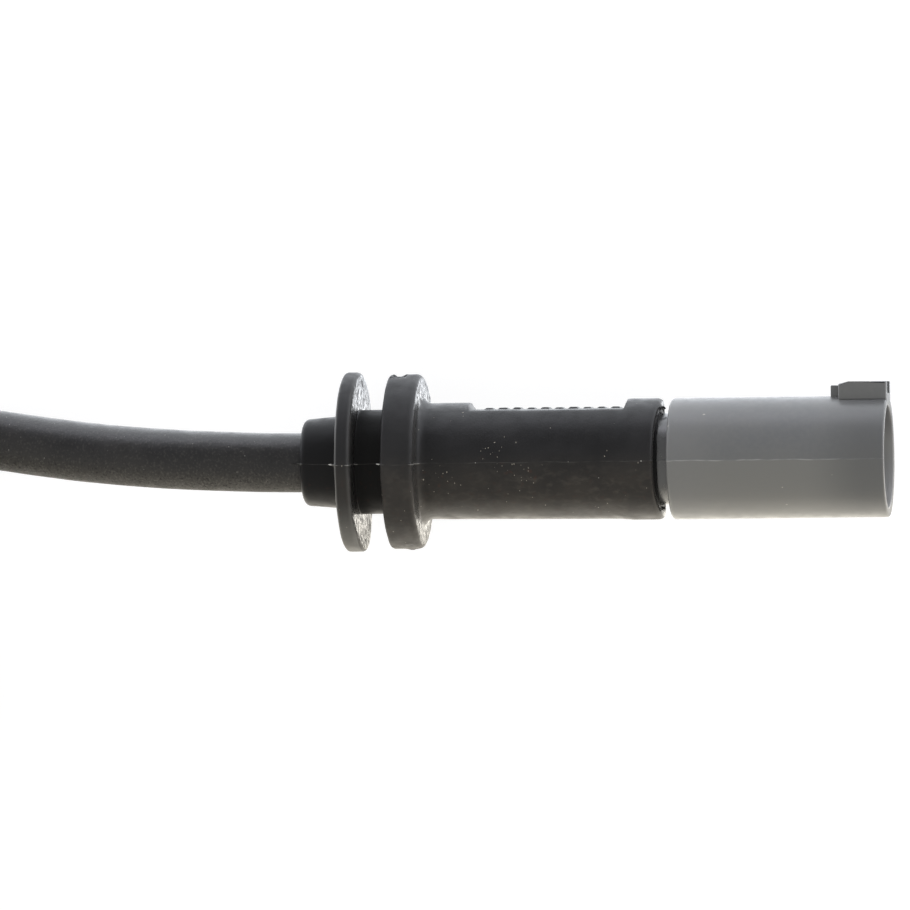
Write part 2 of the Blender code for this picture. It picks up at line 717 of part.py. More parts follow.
def make_coil():
    shape = bmesh.new()
    verts = [shape.verts.new((radius, 0.0, z)) for radius, z in bundle()]
    for a, b in zip(verts, verts[1:] + verts[:1]):
        shape.edges.new((a, b))
    mesh = bpy.data.meshes.new("cable_coil")
    shape.to_mesh(mesh)
    shape.free()
    coil = place(add("cable_coil", mesh, BLACK_JACKET), (COIL_X, COIL_Y, 0.0))
    revolve(coil, LARGE_SIDES)

    past_coil = 2 * COIL_RADIUS
    head_room = box(
        "head_room",
        (HEAD_X - GAP, COIL_Y - past_coil, COIL_FIRST_LAYER_TOP),
        (COIL_X + past_coil, HEAD_Y + HEAD_WIDTH, COIL_FIRST_LAYER_TOP + past_coil),
    )
    combine(coil, head_room)

    upright = (math.radians(90), 0.0, TIE_ANGLE)
    centre = (COIL_X, COIL_Y, 0.0)
    wide, low, high = 2 * COIL_RADIUS, FLOOR_Z - CABLE_DIAMETER, FLOOR_Z + 4 * CABLE_DIAMETER
    surround = [(0.0, low), (wide, low), (wide, high), (0.0, high)]
    band_room = plate(
        "tie_room", [surround, bundle(lift=TIE_LIFT)], TIE_WIDTH + 2 * GAP, None, centre, upright
    )
    combine(coil, band_room)

    inner = bundle(GAP, TIE_LIFT)
    outer = bundle(GAP + TIE_THICKNESS, TIE_LIFT)
    tie = plate("storage_tie", [outer, inner], TIE_WIDTH, TIE_PLASTIC, centre, upright)
    make_tie_lock(tie)


def make_tie_lock(tie):
    """The tie's lock stands on the flank of the bundle that faces the coil's hole, its tail past it."""
    long, high, wide = TIE_LOCK
    reach = CABLE_RADIUS + GAP + TIE_THICKNESS / 2
    radius = COIL_RADIUS - CABLE_RADIUS / 2 + reach * math.cos(BUNDLE_FLANK_TURN)
    middle_z = FLOOR_Z + FLOOR_CLEARANCE + CABLE_RADIUS + TIE_LIFT + LAYER_RISE / 2
    z = middle_z + reach * math.sin(BUNDLE_FLANK_TURN)
    guide = bpy.data.objects.new("tie_flank", None)
    GUIDES.objects.link(guide)
    here = (COIL_X + radius * math.cos(TIE_ANGLE), COIL_Y + radius * math.sin(TIE_ANGLE), z)
    place(guide, here, (0.0, math.radians(90) - BUNDLE_FLANK_TURN, TIE_ANGLE))
    lock = box("tie_lock", (-long / 2, -wide / 2, 0.0), (long / 2, wide / 2, high), parent=guide)
    tail = box(
        "tie_tail",
        (-long / 2 - TIE_TAIL, -TIE_WIDTH / 2, TIE_TAIL_LEVEL),
        (0.0, TIE_WIDTH / 2, TIE_TAIL_LEVEL + TIE_THICKNESS),
        parent=guide,
    )
    combine(tie, lock, "UNION")
    combine(tie, tail, "UNION")


def make_head():
    """The sensing head: strain relief, body with its pocket and wear tip, cover, wire loop and clip."""
    axis = bpy.data.objects.new("head_axis", None)
    GUIDES.objects.link(axis)
    place(axis, (HEAD_X, HEAD_Y, HEAD_Z))
    make_head_relief(axis)
    make_head_body(axis)
    make_head_wires(axis)
    make_head_clip(axis)


def make_head_relief(axis):
    slope = (RELIEF_BASE_RADIUS - RELIEF_TIP_RADIUS) / RELIEF_LENGTH
    pitch = RELIEF_LENGTH / (RELIEF_GROOVES + 1)
    half = pitch / 4
    corners = ((half, 0.0), (half, RELIEF_GROOVE_DEPTH), (-half, RELIEF_GROOVE_DEPTH), (-half, 0.0))
    outside = [(RELIEF_LENGTH, RELIEF_BASE_RADIUS)]
    for k in range(RELIEF_GROOVES, 0, -1):
        for along, depth in corners:
            x = k * pitch + along
            outside.append((x, RELIEF_TIP_RADIUS + slope * x - depth))
    outside.append((0.0, RELIEF_TIP_RADIUS))
    bore = [(0.0, CABLE_BORE), (RELIEF_LENGTH, CABLE_BORE)]
    turned("head_strain_relief", outside + bore, MEDIUM_SIDES, BLACK_RUBBER, hollow=True, parent=axis)
    rod("cable_end_in_head", HEAD_JACKET_END, 0.0, CABLE_RADIUS, MEDIUM_SIDES, BLACK_JACKET, parent=axis)


def make_head_body(axis):
    half_width, half_height = HEAD_WIDTH / 2, HEAD_HEIGHT / 2
    body = box(
        "head_body",
        (BODY_START, -half_width, -half_height),
        (BODY_END, half_width, half_height),
        HEAD_PLASTIC,
        HEAD_ROUNDING,
        axis,
    )
    tip = box(
        "wear_tip",
        (BODY_END - HEAD_ROUNDING * 2, -TIP_WIDTH / 2, -TIP_HEIGHT / 2),
        (TIP_END, TIP_WIDTH / 2, TIP_HEIGHT / 2),
        rounding=HEAD_ROUNDING,
        parent=axis,
    )
    combine(body, tip, "UNION")
    bore = rod("head_bore", POCKET_START + GAP, BODY_START - GAP, CABLE_BORE, MEDIUM_SIDES, parent=axis)
    combine(body, bore)
    pocket = box(
        "head_pocket",
        (POCKET_START, -POCKET_WIDTH / 2, -half_height + POCKET_FLOOR),
        (POCKET_END, POCKET_WIDTH / 2, 2 * HEAD_HEIGHT),
        parent=axis,
    )
    combine(body, pocket)
    seat_z = half_height - COVER_THICKNESS
    seat_start, seat_end = POCKET_START - COVER_OVERLAP, POCKET_END + COVER_OVERLAP
    seat_half = POCKET_WIDTH / 2 + COVER_OVERLAP
    seat = box(
        "cover_seat", (seat_start, -seat_half, seat_z), (seat_end, seat_half, 2 * HEAD_HEIGHT), parent=axis
    )
    combine(body, seat)
    slot_half = LOOP_SPACING / 2 + LOOP_WIRE_RADIUS + FIT
    slot = box(
        "loop_slot",
        (POCKET_END - GAP, -slot_half, -LOOP_WIRE_RADIUS - FIT),
        (TIP_END - TIP_WALL, slot_half, LOOP_WIRE_RADIUS + FIT),
        parent=axis,
    )
    combine(body, slot)
    box(
        "head_cover",
        (seat_start + FIT, -seat_half + FIT, seat_z + FIT),
        (seat_end - FIT, seat_half - FIT, half_height),
        HEAD_PLASTIC,
        parent=axis,
    )


def make_head_wires(axis):
    """The two wires meet the ends of the wear loop in a crimped splice each."""
    bend = LOOP_SPACING / 2
    leg_start = SPLICE_MIDDLE + FIT
    loop = [(leg_start, -bend, 0.0)]
    for k in range(BEND_STEPS + 1):
        angle = math.radians(-90 + 180 * k / BEND_STEPS)
        loop.append((LOOP_BEND + bend * math.cos(angle), bend * math.sin(angle), 0.0))
    loop.append((leg_start, bend, 0.0))
    tube("wear_loop", loop, LOOP_WIRE_RADIUS, COPPER, axis)
    for side, sign in (("left", -1.0), ("right", 1.0)):
        wire = spread_wire(
            HEAD_JACKET_END + FIT,
            SPLICE_MIDDLE - FIT,
            SPLICE_START - GAP,
            CORE_SPACING,
            LOOP_SPACING,
            sign,
        )
        tube(f"head_wire_{side}", [(x, y, 0.0) for x, y in wire], CORE_RADIUS, WIRE_COLOURS[side], axis)
        splice_radius = CRIMP_BORE + SPLICE_WALL
        leg_bore = LOOP_WIRE_RADIUS + FIT
        turned(
            f"splice_{side}",
            [
                (SPLICE_END, leg_bore),
                (SPLICE_END, splice_radius),
                (SPLICE_START, splice_radius),
                (SPLICE_START, CRIMP_BORE),
                (SPLICE_MIDDLE, CRIMP_BORE),
                (SPLICE_MIDDLE, leg_bore),
            ],
            SMALL_SIDES,
            BRASS,
            hollow=True,
            centre=(sign * LOOP_SPACING / 2, 0.0),
            parent=axis,
        )


def make_head_clip(axis):
    """A folded spring strip that saddles the head and holds it in the pad's slot with two hooks."""
    side = HEAD_WIDTH / 2 + FIT + CLIP_THICKNESS / 2
    top = HEAD_HEIGHT / 2 + FIT + CLIP_THICKNESS / 2
    foot = top - CLIP_DROP
    half_view = [(side, top, CLIP_BEND), (side, foot, CLIP_BEND), (side + CLIP_FLARE, foot + CLIP_HOOK, 0.0)]
    mirrored = [(-y, z, fillet) for y, z, fillet in reversed(half_view)]
    path = rounded(mirrored + half_view, closed=False, steps=3)
    start = BODY_START + CLIP_SETBACK
    shape = bmesh.new()
    rows = [[shape.verts.new((x, y, z)) for y, z in path] for x in (start, start + CLIP_LENGTH)]
    for a, b, c, d in zip(rows[0], rows[0][1:], rows[1][1:], rows[1]):
        shape.faces.new((a, b, c, d))
    mesh = bpy.data.meshes.new("head_clip")
    shape.to_mesh(mesh)
    shape.free()
    clip = place(add("head_clip", mesh, SPRING_STEEL), parent=axis)
    sheet = clip.modifiers.new("sheet", "SOLIDIFY")
    sheet.thickness = CLIP_THICKNESS
    sheet.offset = 0.0
    sheet.use_even_offset = True


for old in list(bpy.data.objects):
    bpy.data.objects.remove(old, do_unlink=True)

PARTS = collection("brake_pad_wear_sensor")
GUIDES = collection("cutters")
SIDES = (("left", TERMINAL_PITCH / 2), ("right", -TERMINAL_PITCH / 2))

GREY_PLASTIC = material("grey_plastic", (0.14, 0.14, 0.135), 0.5)
BLACK_RUBBER = material("black_rubber", (0.03, 0.03, 0.03), 0.55)
BLACK_JACKET = material("black_jacket", (0.035, 0.035, 0.035), 0.65)
BLACK_PLASTIC = material("black_plastic", (0.025, 0.025, 0.025), 0.45)
WHITE_PLASTIC = material("white_plastic", (0.7, 0.7, 0.68), 0.5)
HEAD_PLASTIC = material("head_plastic", (0.035, 0.034, 0.033), 0.5)
TIE_PLASTIC = material("tie_plastic", (0.02, 0.02, 0.02), 0.4)
ORANGE_SILICONE = material("orange_silicone", (0.6, 0.2, 0.06), 0.5)
BRASS = material("tinned_brass", (0.75, 0.7, 0.6), 0.3, 1.0)
COPPER = material("copper_wire", (0.8, 0.4, 0.25), 0.3, 1.0)
SPRING_STEEL = material("spring_steel", (0.6, 0.6, 0.6), 0.3, 1.0)
WIRE_COLOURS = {
    "left": material("brown_wire", (0.16, 0.07, 0.03), 0.5),
    "right": material("yellow_wire", (0.7, 0.5, 0.05), 0.5),
}

make_shell()
make_carrier()
make_terminals()
make_boot_wires()
make_boot()
make_cable_run()
make_coil()
make_head()
bpy.context.view_layer.update()
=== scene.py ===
"""The looks of the brake pad wear sensor: mouldings, cable, seals and metal, with floor, light and camera.

Everything is in metres in the part's own frame: +X out of the plug's mouth, +Y towards its rails, +Z up
from the floor. The angle round a moulding is 0 at +Y and a quarter turn at +Z.
"""
import math

import bmesh
import bpy
from mathutils import Matrix, Vector, noise


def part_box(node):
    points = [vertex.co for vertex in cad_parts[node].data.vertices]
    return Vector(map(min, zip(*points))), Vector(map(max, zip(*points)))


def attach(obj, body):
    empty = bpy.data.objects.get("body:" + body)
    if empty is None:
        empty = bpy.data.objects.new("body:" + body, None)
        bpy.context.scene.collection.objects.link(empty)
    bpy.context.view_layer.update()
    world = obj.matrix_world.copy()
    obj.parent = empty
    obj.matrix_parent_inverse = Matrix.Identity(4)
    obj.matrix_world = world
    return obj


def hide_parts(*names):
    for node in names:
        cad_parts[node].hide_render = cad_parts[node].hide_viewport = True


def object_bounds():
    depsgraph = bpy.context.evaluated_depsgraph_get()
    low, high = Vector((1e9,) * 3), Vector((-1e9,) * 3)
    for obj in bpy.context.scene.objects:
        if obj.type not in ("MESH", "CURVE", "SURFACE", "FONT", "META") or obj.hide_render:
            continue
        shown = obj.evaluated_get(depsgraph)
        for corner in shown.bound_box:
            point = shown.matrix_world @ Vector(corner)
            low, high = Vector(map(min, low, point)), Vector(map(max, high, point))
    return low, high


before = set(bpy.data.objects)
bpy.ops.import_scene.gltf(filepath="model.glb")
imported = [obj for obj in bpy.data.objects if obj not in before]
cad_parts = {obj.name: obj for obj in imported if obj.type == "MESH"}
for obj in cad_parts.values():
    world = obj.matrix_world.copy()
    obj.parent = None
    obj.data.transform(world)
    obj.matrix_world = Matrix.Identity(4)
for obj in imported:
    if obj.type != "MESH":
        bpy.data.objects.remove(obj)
CAD_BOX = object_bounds()
MM = 0.001
BODY = "root"

# Clearances
GAP = 0.3 * MM
FIT = 0.12 * MM

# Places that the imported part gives
NOSE_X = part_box("rubber_boot")[0].x
COLLAR_FRONT_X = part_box("rubber_boot")[1].x
SPIGOT_BACK_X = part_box("connector_shell")[0].x
RIM_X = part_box("connector_shell")[1].x
FLOOR_Z = CAD_BOX[0].z

# Boot, from the nose forward
NOSE_LENGTH = 4.2 * MM
NOSE_TIP_RADIUS = 4.3 * MM
NOSE_BASE_RADIUS = 4.66 * MM
NOSE_ROUNDING = 0.62 * MM
DISC_THICKNESS = 1.5 * MM
DISC_RADIUS = 8.85 * MM
DISC_ROUNDING = 0.45 * MM
DISC_BACK_ROUNDING = 0.38 * MM
GROOVE_WIDTH = 3.11 * MM
GROOVE_RADIUS = 5.21 * MM
FLANGE_THICKNESS = 3.2 * MM
FLANGE_RADIUS = 8.6 * MM
FLANGE_BACK_ROUNDING = 0.3 * MM
FLANGE_FRONT_ROUNDING = 0.6 * MM
OUT_OF_ROUND = 0.13 * MM
FLANGE_FILLET = 0.9 * MM
PAD_LENGTH = 4.95 * MM
BARREL_RADIUS = 5.79 * MM
BARREL_FRONT_RADIUS = 5.95 * MM
FLAT_LENGTH = 15.5 * MM
FLAT_HEIGHT = 5.0 * MM
COLLAR_RADIUS = 6.05 * MM
COLLAR_ROUNDING = 0.45 * MM
COLLAR_MOUTH_RADIUS = 5.05 * MM
COLLAR_MOUTH_DEPTH = 1.1 * MM
SHADOW_LIP_REACH = 0.2 * MM
BOOT_BORE = 4.02 * MM
BARB_BORE = 4.32 * MM
BARB_SETBACK = 3.2 * MM
BARB_LENGTH = 1.6 * MM
CORE_SPREAD_LENGTH = 4.6 * MM
JACKET_BARE = 1.5 * MM
STEP_ROUNDING = 0.42 * MM
RISE_X = (-21.3 * MM, -20.77 * MM)
NOTCH_X = (-44.45 * MM, -43.0 * MM)
NOTCH_DEPTH = 0.34 * MM
NOTCH_HALF_ANGLE = 17
DISC_FLARE = 0.1 * MM
DISC_BEND = 0.33 * MM
COLLAR_FLARE = 0.4 * MM
COLLAR_SLANT = 0.1 * MM
FLAT_CROWN = 0.13 * MM
RIB_COUNT = 10
RIB_PITCH = 1.415 * MM
RIB_SHIFT = 0.43 * MM
RIB_WIDTH = 0.8 * MM
RIB_HEIGHT = 0.17 * MM
RIB_HALF_SPAN = 1.0 * MM

DISC_BACK_X = NOSE_X + NOSE_LENGTH
GROOVE_BACK_X = DISC_BACK_X + DISC_THICKNESS
GROOVE_FRONT_X = GROOVE_BACK_X + GROOVE_WIDTH
FLANGE_FRONT_X = GROOVE_FRONT_X + FLANGE_THICKNESS
FLAT_BACK_X = FLANGE_FRONT_X + PAD_LENGTH
COLLAR_BACK_X = FLAT_BACK_X + FLAT_LENGTH
BARB_BACK_X = SPIGOT_BACK_X + BARB_SETBACK
BARB_FRONT_X = BARB_BACK_X + BARB_LENGTH
GROOVE_MIDDLE_X = (GROOVE_BACK_X + GROOVE_FRONT_X) / 2
BOOT_CORNERS = (NOSE_X, DISC_BACK_X, GROOVE_BACK_X, GROOVE_FRONT_X, FLANGE_FRONT_X, COLLAR_FRONT_X)
PARTING_TURN = 2

# Places of wear on the boot, in mm: clusters of specks, smears, scuffs, nicks, bright flash, cleaner patches
SPECK_PLACES = (
    (-39.9, -1.9, 5.5),
    (-38.9, -1.3, 5.6),
    (-32.2, -0.7, 5.75),
    (-30.2, -1.2, 5.7),
    (-34.0, 0.9, 5.7),
)
SMEAR_PLACES = ((-27.4, -1.1, 5.7), (-25.3, -1.4, 5.6), (-22.3, -3.2, 4.9), (-30.0, -2.2, 5.4))
SCUFF_PLACES = ((-37.0, 5.3, 2.35), (-44.3, 8.5, 1.5), (-43.2, -8.4, 2.0), (-42.6, -8.3, 2.4))
NICK_PLACES = (
    (-41.35, 5.2, 2.75),
    (-35.5, -0.2, 5.8),
    (-26.2, -0.2, 5.85),
    (-23.2, -1.8, 5.6),
    (-18.9, -0.2, 6.05),
)
FIN_PLACES = ((-49.75, -0.2, 8.75), (-45.0, -0.2, 8.55))
WIPED_PLACES = ((-25.5, 3.8, 4.4), (-22.8, 3.0, 5.1), (-29.0, 3.9, 4.3))

# Torn scraps of the boot, in mm: the points that each runs through, its radius there and how flat it is
CURL = ((-17.85, 3.7, 2.8), (-17.7, 4.3, 2.4), (-17.48, 4.9, 1.85), (-17.22, 5.15, 1.5), (-16.98, 5.0, 1.2))
SCRAPS = (
    (CURL, (0.1, 0.15, 0.13, 0.13, 0.09), 0.9),
    (((-17.75, -4.7, 1.5), (-17.5, -4.9, 1.0), (-17.25, -4.95, 0.5)), (0.1, 0.19, 0.15), 0.9),
    (((-54.5, -0.12, 2.98), (-54.1, -0.1, 3.1), (-53.6, -0.12, 3.25)), (0.04, 0.09, 0.12), 0.6),
    (((-49.85, -0.22, 8.72), (-49.55, -0.24, 8.78), (-49.15, -0.26, 8.72)), (0.04, 0.09, 0.1), 0.5),
    (((-45.1, -0.22, 8.5), (-44.9, -0.24, 8.53), (-44.5, -0.26, 8.5)), (0.03, 0.08, 0.1), 0.5),
    (((-35.3, -5.66, 0.1), (-34.8, -5.7, 0.0), (-34.3, -5.66, -0.1)), (0.06, 0.14, 0.06), 0.8),
)

# Plug shell
SHELL_RADIUS = 6.04 * MM
SHELL_WALL = 0.94 * MM
SHELL_LENGTH = 21.66 * MM
SOCKET_DEPTH = 14.8 * MM
CARRIER_SEAT_DEPTH = 2.5 * MM
NECK_RADIUS = 4.55 * MM
NECK_LENGTH = 5.84 * MM
SPIGOT_RADIUS = 3.9 * MM
TOWER_RADIUS = 3.3 * MM
RIM_ROUNDING = 0.22 * MM
SHOULDER_ROUNDING = 0.4 * MM
RAIL_LENGTH = 4.8 * MM
RAIL_WIDTH = 4.3 * MM
RAIL_TOP = 7.48 * MM
RAIL_RAMP = (1.0 * MM, 0.24 * MM)
RAIL_ROUNDING = 0.2 * MM
RAIL_SLOT_WIDTH = 2.3 * MM
RAIL_SLOT_FLOOR = 6.3 * MM
STOP_LENGTH = 0.87 * MM
STOP_TOP = 7.12 * MM
STOP_HALF = 1.0 * MM
TERMINAL_BORE = 1.12 * MM
TERMINAL_PITCH = 3.2 * MM
WIRE_SEAL_BORE = 1.37 * MM
WIRE_SEAL_LENGTH = 5.6 * MM

SHOULDER_X = RIM_X - SHELL_LENGTH
NECK_BACK_X = SHOULDER_X - NECK_LENGTH
SOCKET_FLOOR_X = RIM_X - SOCKET_DEPTH
CARRIER_SEAT_X = SOCKET_FLOOR_X - CARRIER_SEAT_DEPTH

# Cable: its route runs back from the nose; each point is (back, to +Y, share of the drop)
CABLE_DIAMETER = 5.9 * MM
CABLE_RADIUS = CABLE_DIAMETER / 2
CABLE_BORE = CABLE_RADIUS + FIT
CABLE_SIDES = 96
CABLE_SWELL = 0.075 * MM
FINE_REACH = 36 * MM
FINE_PIECES = 5
SAG_PLACE = 33 * MM
SAG_DEPTH = 0.235 * MM
FLOOR_CLEARANCE = 0.02 * MM
CABLE_DROP = -FLOOR_Z - CABLE_RADIUS - FLOOR_CLEARANCE
ROUTE = (
    (0.02, 0.00, 0.000),
    (3.30, 0.04, 0.002),
    (6.50, 0.16, 0.022),
    (12.5, 0.49, 0.130),
    (18.5, 1.00, 0.335),
    (24.5, 1.70, 0.575),
    (31.0, 2.66, 0.805),
    (36.5, 3.53, 0.935),
    (43.8, 4.69, 1.000),
)

# Coil and tie. In degrees of travel: where the cable joins the coil, steps in, climbs and leaves
COIL_CENTRE = Vector((NOSE_X - 68.9 * MM, -24.7 * MM, 0.0))
COIL_RADIUS = 29.5 * MM
JOIN_ANGLE = 81
STEP_IN = (300, 360)
CLIMB = (600, 655)
LEAVE = 849
COIL_STEP = 7.5
LAYER_SLOPE = math.radians(60)
LAYER_RISE = CABLE_DIAMETER * math.sin(LAYER_SLOPE)
CROSSING_REACH = 36
LAST_BEND = 60
LAST_BEND_RADIUS = 23.15 * MM
LAST_BEND_PIECES = 6
HEAD_RISE_LENGTH = 20 * MM
TIE_ANGLE = 165
TIE_LIFT = 1.2 * MM
TIE_LIFT_REACH = 48
TIE_WIDTH = 3.2 * MM
TIE_THICKNESS = 0.8 * MM
TIE_ROUNDING = 0.15 * MM
TIE_STEPS = 16
TIE_FLANK = 150
TIE_LOCK = Vector((2.2, 3.4, 2.2)) * MM
TIE_LOCK_ROUNDING = 0.35 * MM
TIE_WINDOW = (1.1 * MM, 2.7 * MM)
TIE_TAIL = 7 * MM
TIE_TAIL_LEVEL = 1.54 * MM
TIE_TAIL_ROUNDING = 0.05 * MM
TIE_TEETH = 12
TIE_TOOTH_START = 0.6 * MM
TIE_TOOTH_PITCH = 0.5 * MM
TIE_TOOTH = (0.4 * MM, 0.2 * MM)

# Sensing head: the rear of its strain relief, where the cable goes in
HEAD_LOW, HEAD_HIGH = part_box("head_body")
RELIEF_LENGTH = 6.7 * MM
HEAD_MIDDLE = (HEAD_LOW + HEAD_HIGH) / 2
HEAD_REAR = Vector((HEAD_LOW.x - GAP - RELIEF_LENGTH, HEAD_MIDDLE.y, HEAD_MIDDLE.z))

# Camera and light
VIEW_X = -38.35 * MM
VIEW_Y = 0.6 * MM
VIEW_DISTANCE = 990 * MM
VIEW_TILT = math.radians(7.9)
VIEW_ROLL = math.radians(0.63)
PIXELS_PER_RADIAN = 9900
PICTURE_SIDE = 910
SENSOR = 36.0
OVERHEAD_LIGHT = ((0.85, 0.84, 0.82), (0.4, 0.41, 0.43))
SIDE_LIGHT = ((1.18, 1.1, 0.96), (3.42, 3.46, 3.78))
FLOOR_IN_REFLECTIONS = ((2.7, 2.55, 2.25), (2.5, 2.6, 2.75))
FLOOR_GLOW = 0.86
FLOOR_SHADE = (0.3, 0.3, 0.3)
FLOOR_GREY = (0.8, 0.8, 0.8)
FLOOR_REACH = 3.0
LAMP_PLACE = Vector((0.45, 0.05, 0.16))
LAMP_SIZE = 0.3
LAMP_POWER = 0.2


class Nodes:
    """A node tree. Its methods add nodes and return the sockets that they give."""

    def __init__(self, tree):
        self.tree = tree

    def node(self, kind, inputs=None, **settings):
        made = self.tree.nodes.new("ShaderNode" + kind)
        for key, value in settings.items():
            setattr(made, key, value)
        for key, value in (inputs or {}).items():
            if isinstance(value, bpy.types.NodeSocket):
                self.tree.links.new(value, made.inputs[key])
            else:
                made.inputs[key].default_value = value
        return made

    def span(self, value, low, high, at_low=0.0, at_high=1.0):
        inputs = {"Value": value, "From Min": low, "From Max": high, "To Min": at_low, "To Max": at_high}
        return self.node("MapRange", inputs, interpolation_type="SMOOTHSTEP").outputs[0]

    def math(self, operation, *values):
        return self.node("Math", dict(enumerate(values)), operation=operation).outputs[0]

    def times(self, value, *others):
        for other in others:
            value = self.math("MULTIPLY", value, other)
        return value

    def most(self, a, b):
        return self.math("MAXIMUM", a, b)

    def part_of(self, vector, axis):
        return self.node("SeparateXYZ", {0: vector}).outputs[axis]

    def mix(self, factor, a, b):
        colours = [c if isinstance(c, bpy.types.NodeSocket) else (*c, 1.0) for c in (a, b)]
        return self.node("Mix", {0: factor, 6: colours[0], 7: colours[1]}, data_type="RGBA").outputs[2]


class Surface(Nodes):
    """A node material, its textures placed by the piece's own coordinates."""

    def __init__(self, name, colour, roughness, metallic=0.0, specular=0.5):
        self.material = bpy.data.materials.new(name)
        self.material.use_nodes = True
        super().__init__(self.material.node_tree)
        self.shader = self.tree.nodes["Principled BSDF"]
        values = (("Base Color", (*colour, 1.0)), ("Roughness", roughness), ("Metallic", metallic))
        for key, value in (*values, ("Specular IOR Level", specular)):
            self.shader.inputs[key].default_value = value
        self.place = self.node("TexCoord").outputs["Object"]
        self.x, self.y, self.z = self.node("SeparateXYZ", {0: self.place}).outputs
        self.tone = self.normal = None

    def stretched(self, stretch):
        scale = [1 / s for s in stretch]
        return self.node("Mapping", {"Vector": self.place, "Scale": scale}).outputs[0]

    def noise(self, size, detail=3.0, stretch=(1, 1, 1), distortion=0.0):
        inputs = {"Vector": self.stretched(stretch), "Scale": 1 / size, "Detail": detail}
        return self.node("TexNoise", {**inputs, "Distortion": distortion}).outputs["Fac"]

    def bump(self, height, distance, strength=1.0):
        inputs = {"Height": height, "Distance": distance, "Strength": strength}
        if self.normal:
            inputs["Normal"] = self.normal
        self.normal = self.node("Bump", inputs).outputs[0]

    def specks(self, size, reach, share, stretch=(1, 1, 1)):
        """Spots of unequal size and strength, in that share of the cells."""
        cells = self.node("TexVoronoi", {"Vector": self.stretched(stretch), "Scale": 1 / size}).outputs
        chance = cells["Color"]
        chosen = self.math("LESS_THAN", self.part_of(chance, "X"), share)
        edge = self.math("MULTIPLY_ADD", self.part_of(chance, "Y"), reach * 0.6, reach * 0.4)
        strength = self.math("MULTIPLY_ADD", self.part_of(chance, "Z"), 0.75, 0.25)
        return self.times(self.math("LESS_THAN", cells["Distance"], edge), chosen, strength)

    def near(self, places, reach):
        """1 close to any of the places (in mm), 0 further off than reach."""
        value = 0.0
        for place in places:
            inputs = {0: self.place, 1: Vector(place) * MM}
            off = self.node("VectorMath", inputs, operation="DISTANCE").outputs["Value"]
            value = self.most(value, self.span(off, reach * 0.4, reach, 1.0, 0.0))
        return value

    def beside(self, value, place, near, far, peak=1.0):
        """peak where the value is within near of a place, 0 further off than far."""
        off = self.math("ABSOLUTE", self.math("SUBTRACT", value, place))
        return self.span(off, near, far, peak, 0.0)

    def off_axis(self):
        """Distance from the line along the middle of the plug and the boot."""
        squares = self.math("ADD", self.times(self.y, self.y), self.times(self.z, self.z))
        return self.math("SQRT", squares)

    def facing(self, axis):
        """How far a face looks along an axis, from -1 to 1."""
        return self.part_of(self.node("NewGeometry").outputs["Normal"], axis)

    def faces_along_x(self, low=0.75, high=0.95):
        """1 on faces that look along the X axis, 0 on the others."""
        return self.span(self.math("ABSOLUTE", self.facing("X")), low, high)

    def off_parting(self):
        """Distance from the plane where the two halves of the mould met; below 0 on its lower side."""
        return self.math("MULTIPLY_ADD", self.z, math.tan(math.radians(PARTING_TURN)), self.y)

    def parting_line_highlight(self, half_width, break_size):
        """The line where the two halves of the mould met, as a mask for a painted highlight along it,
        brighter here and there.
        """
        wobble = self.span(self.noise(3 * MM, 2.0), 0.3, 0.7, -0.05 * MM, 0.05 * MM)
        off = self.math("ABSOLUTE", self.math("ADD", self.off_parting(), wobble))
        line = self.span(off, half_width * 0.4, half_width, 1.0, 0.0)
        breaks = self.span(self.noise(break_size, 2.0), 0.38, 0.62, 0.12, 1.0)
        return self.times(line, breaks)

    def paint(self, colour, *shares):
        """Lay a colour over the tone, as strongly as the shares say when multiplied together."""
        self.tone = self.mix(self.times(*shares), self.tone, colour)

    def finish(self, roughness, specular=None):
        """Connect what varies over the surface, and give the material."""
        varied = (("Base Color", self.tone), ("Roughness", roughness), ("Normal", self.normal))
        for key, socket in (*varied, ("Specular IOR Level", specular)):
            if socket is not None:
                self.tree.links.new(socket, self.shader.inputs[key])
        return self.material


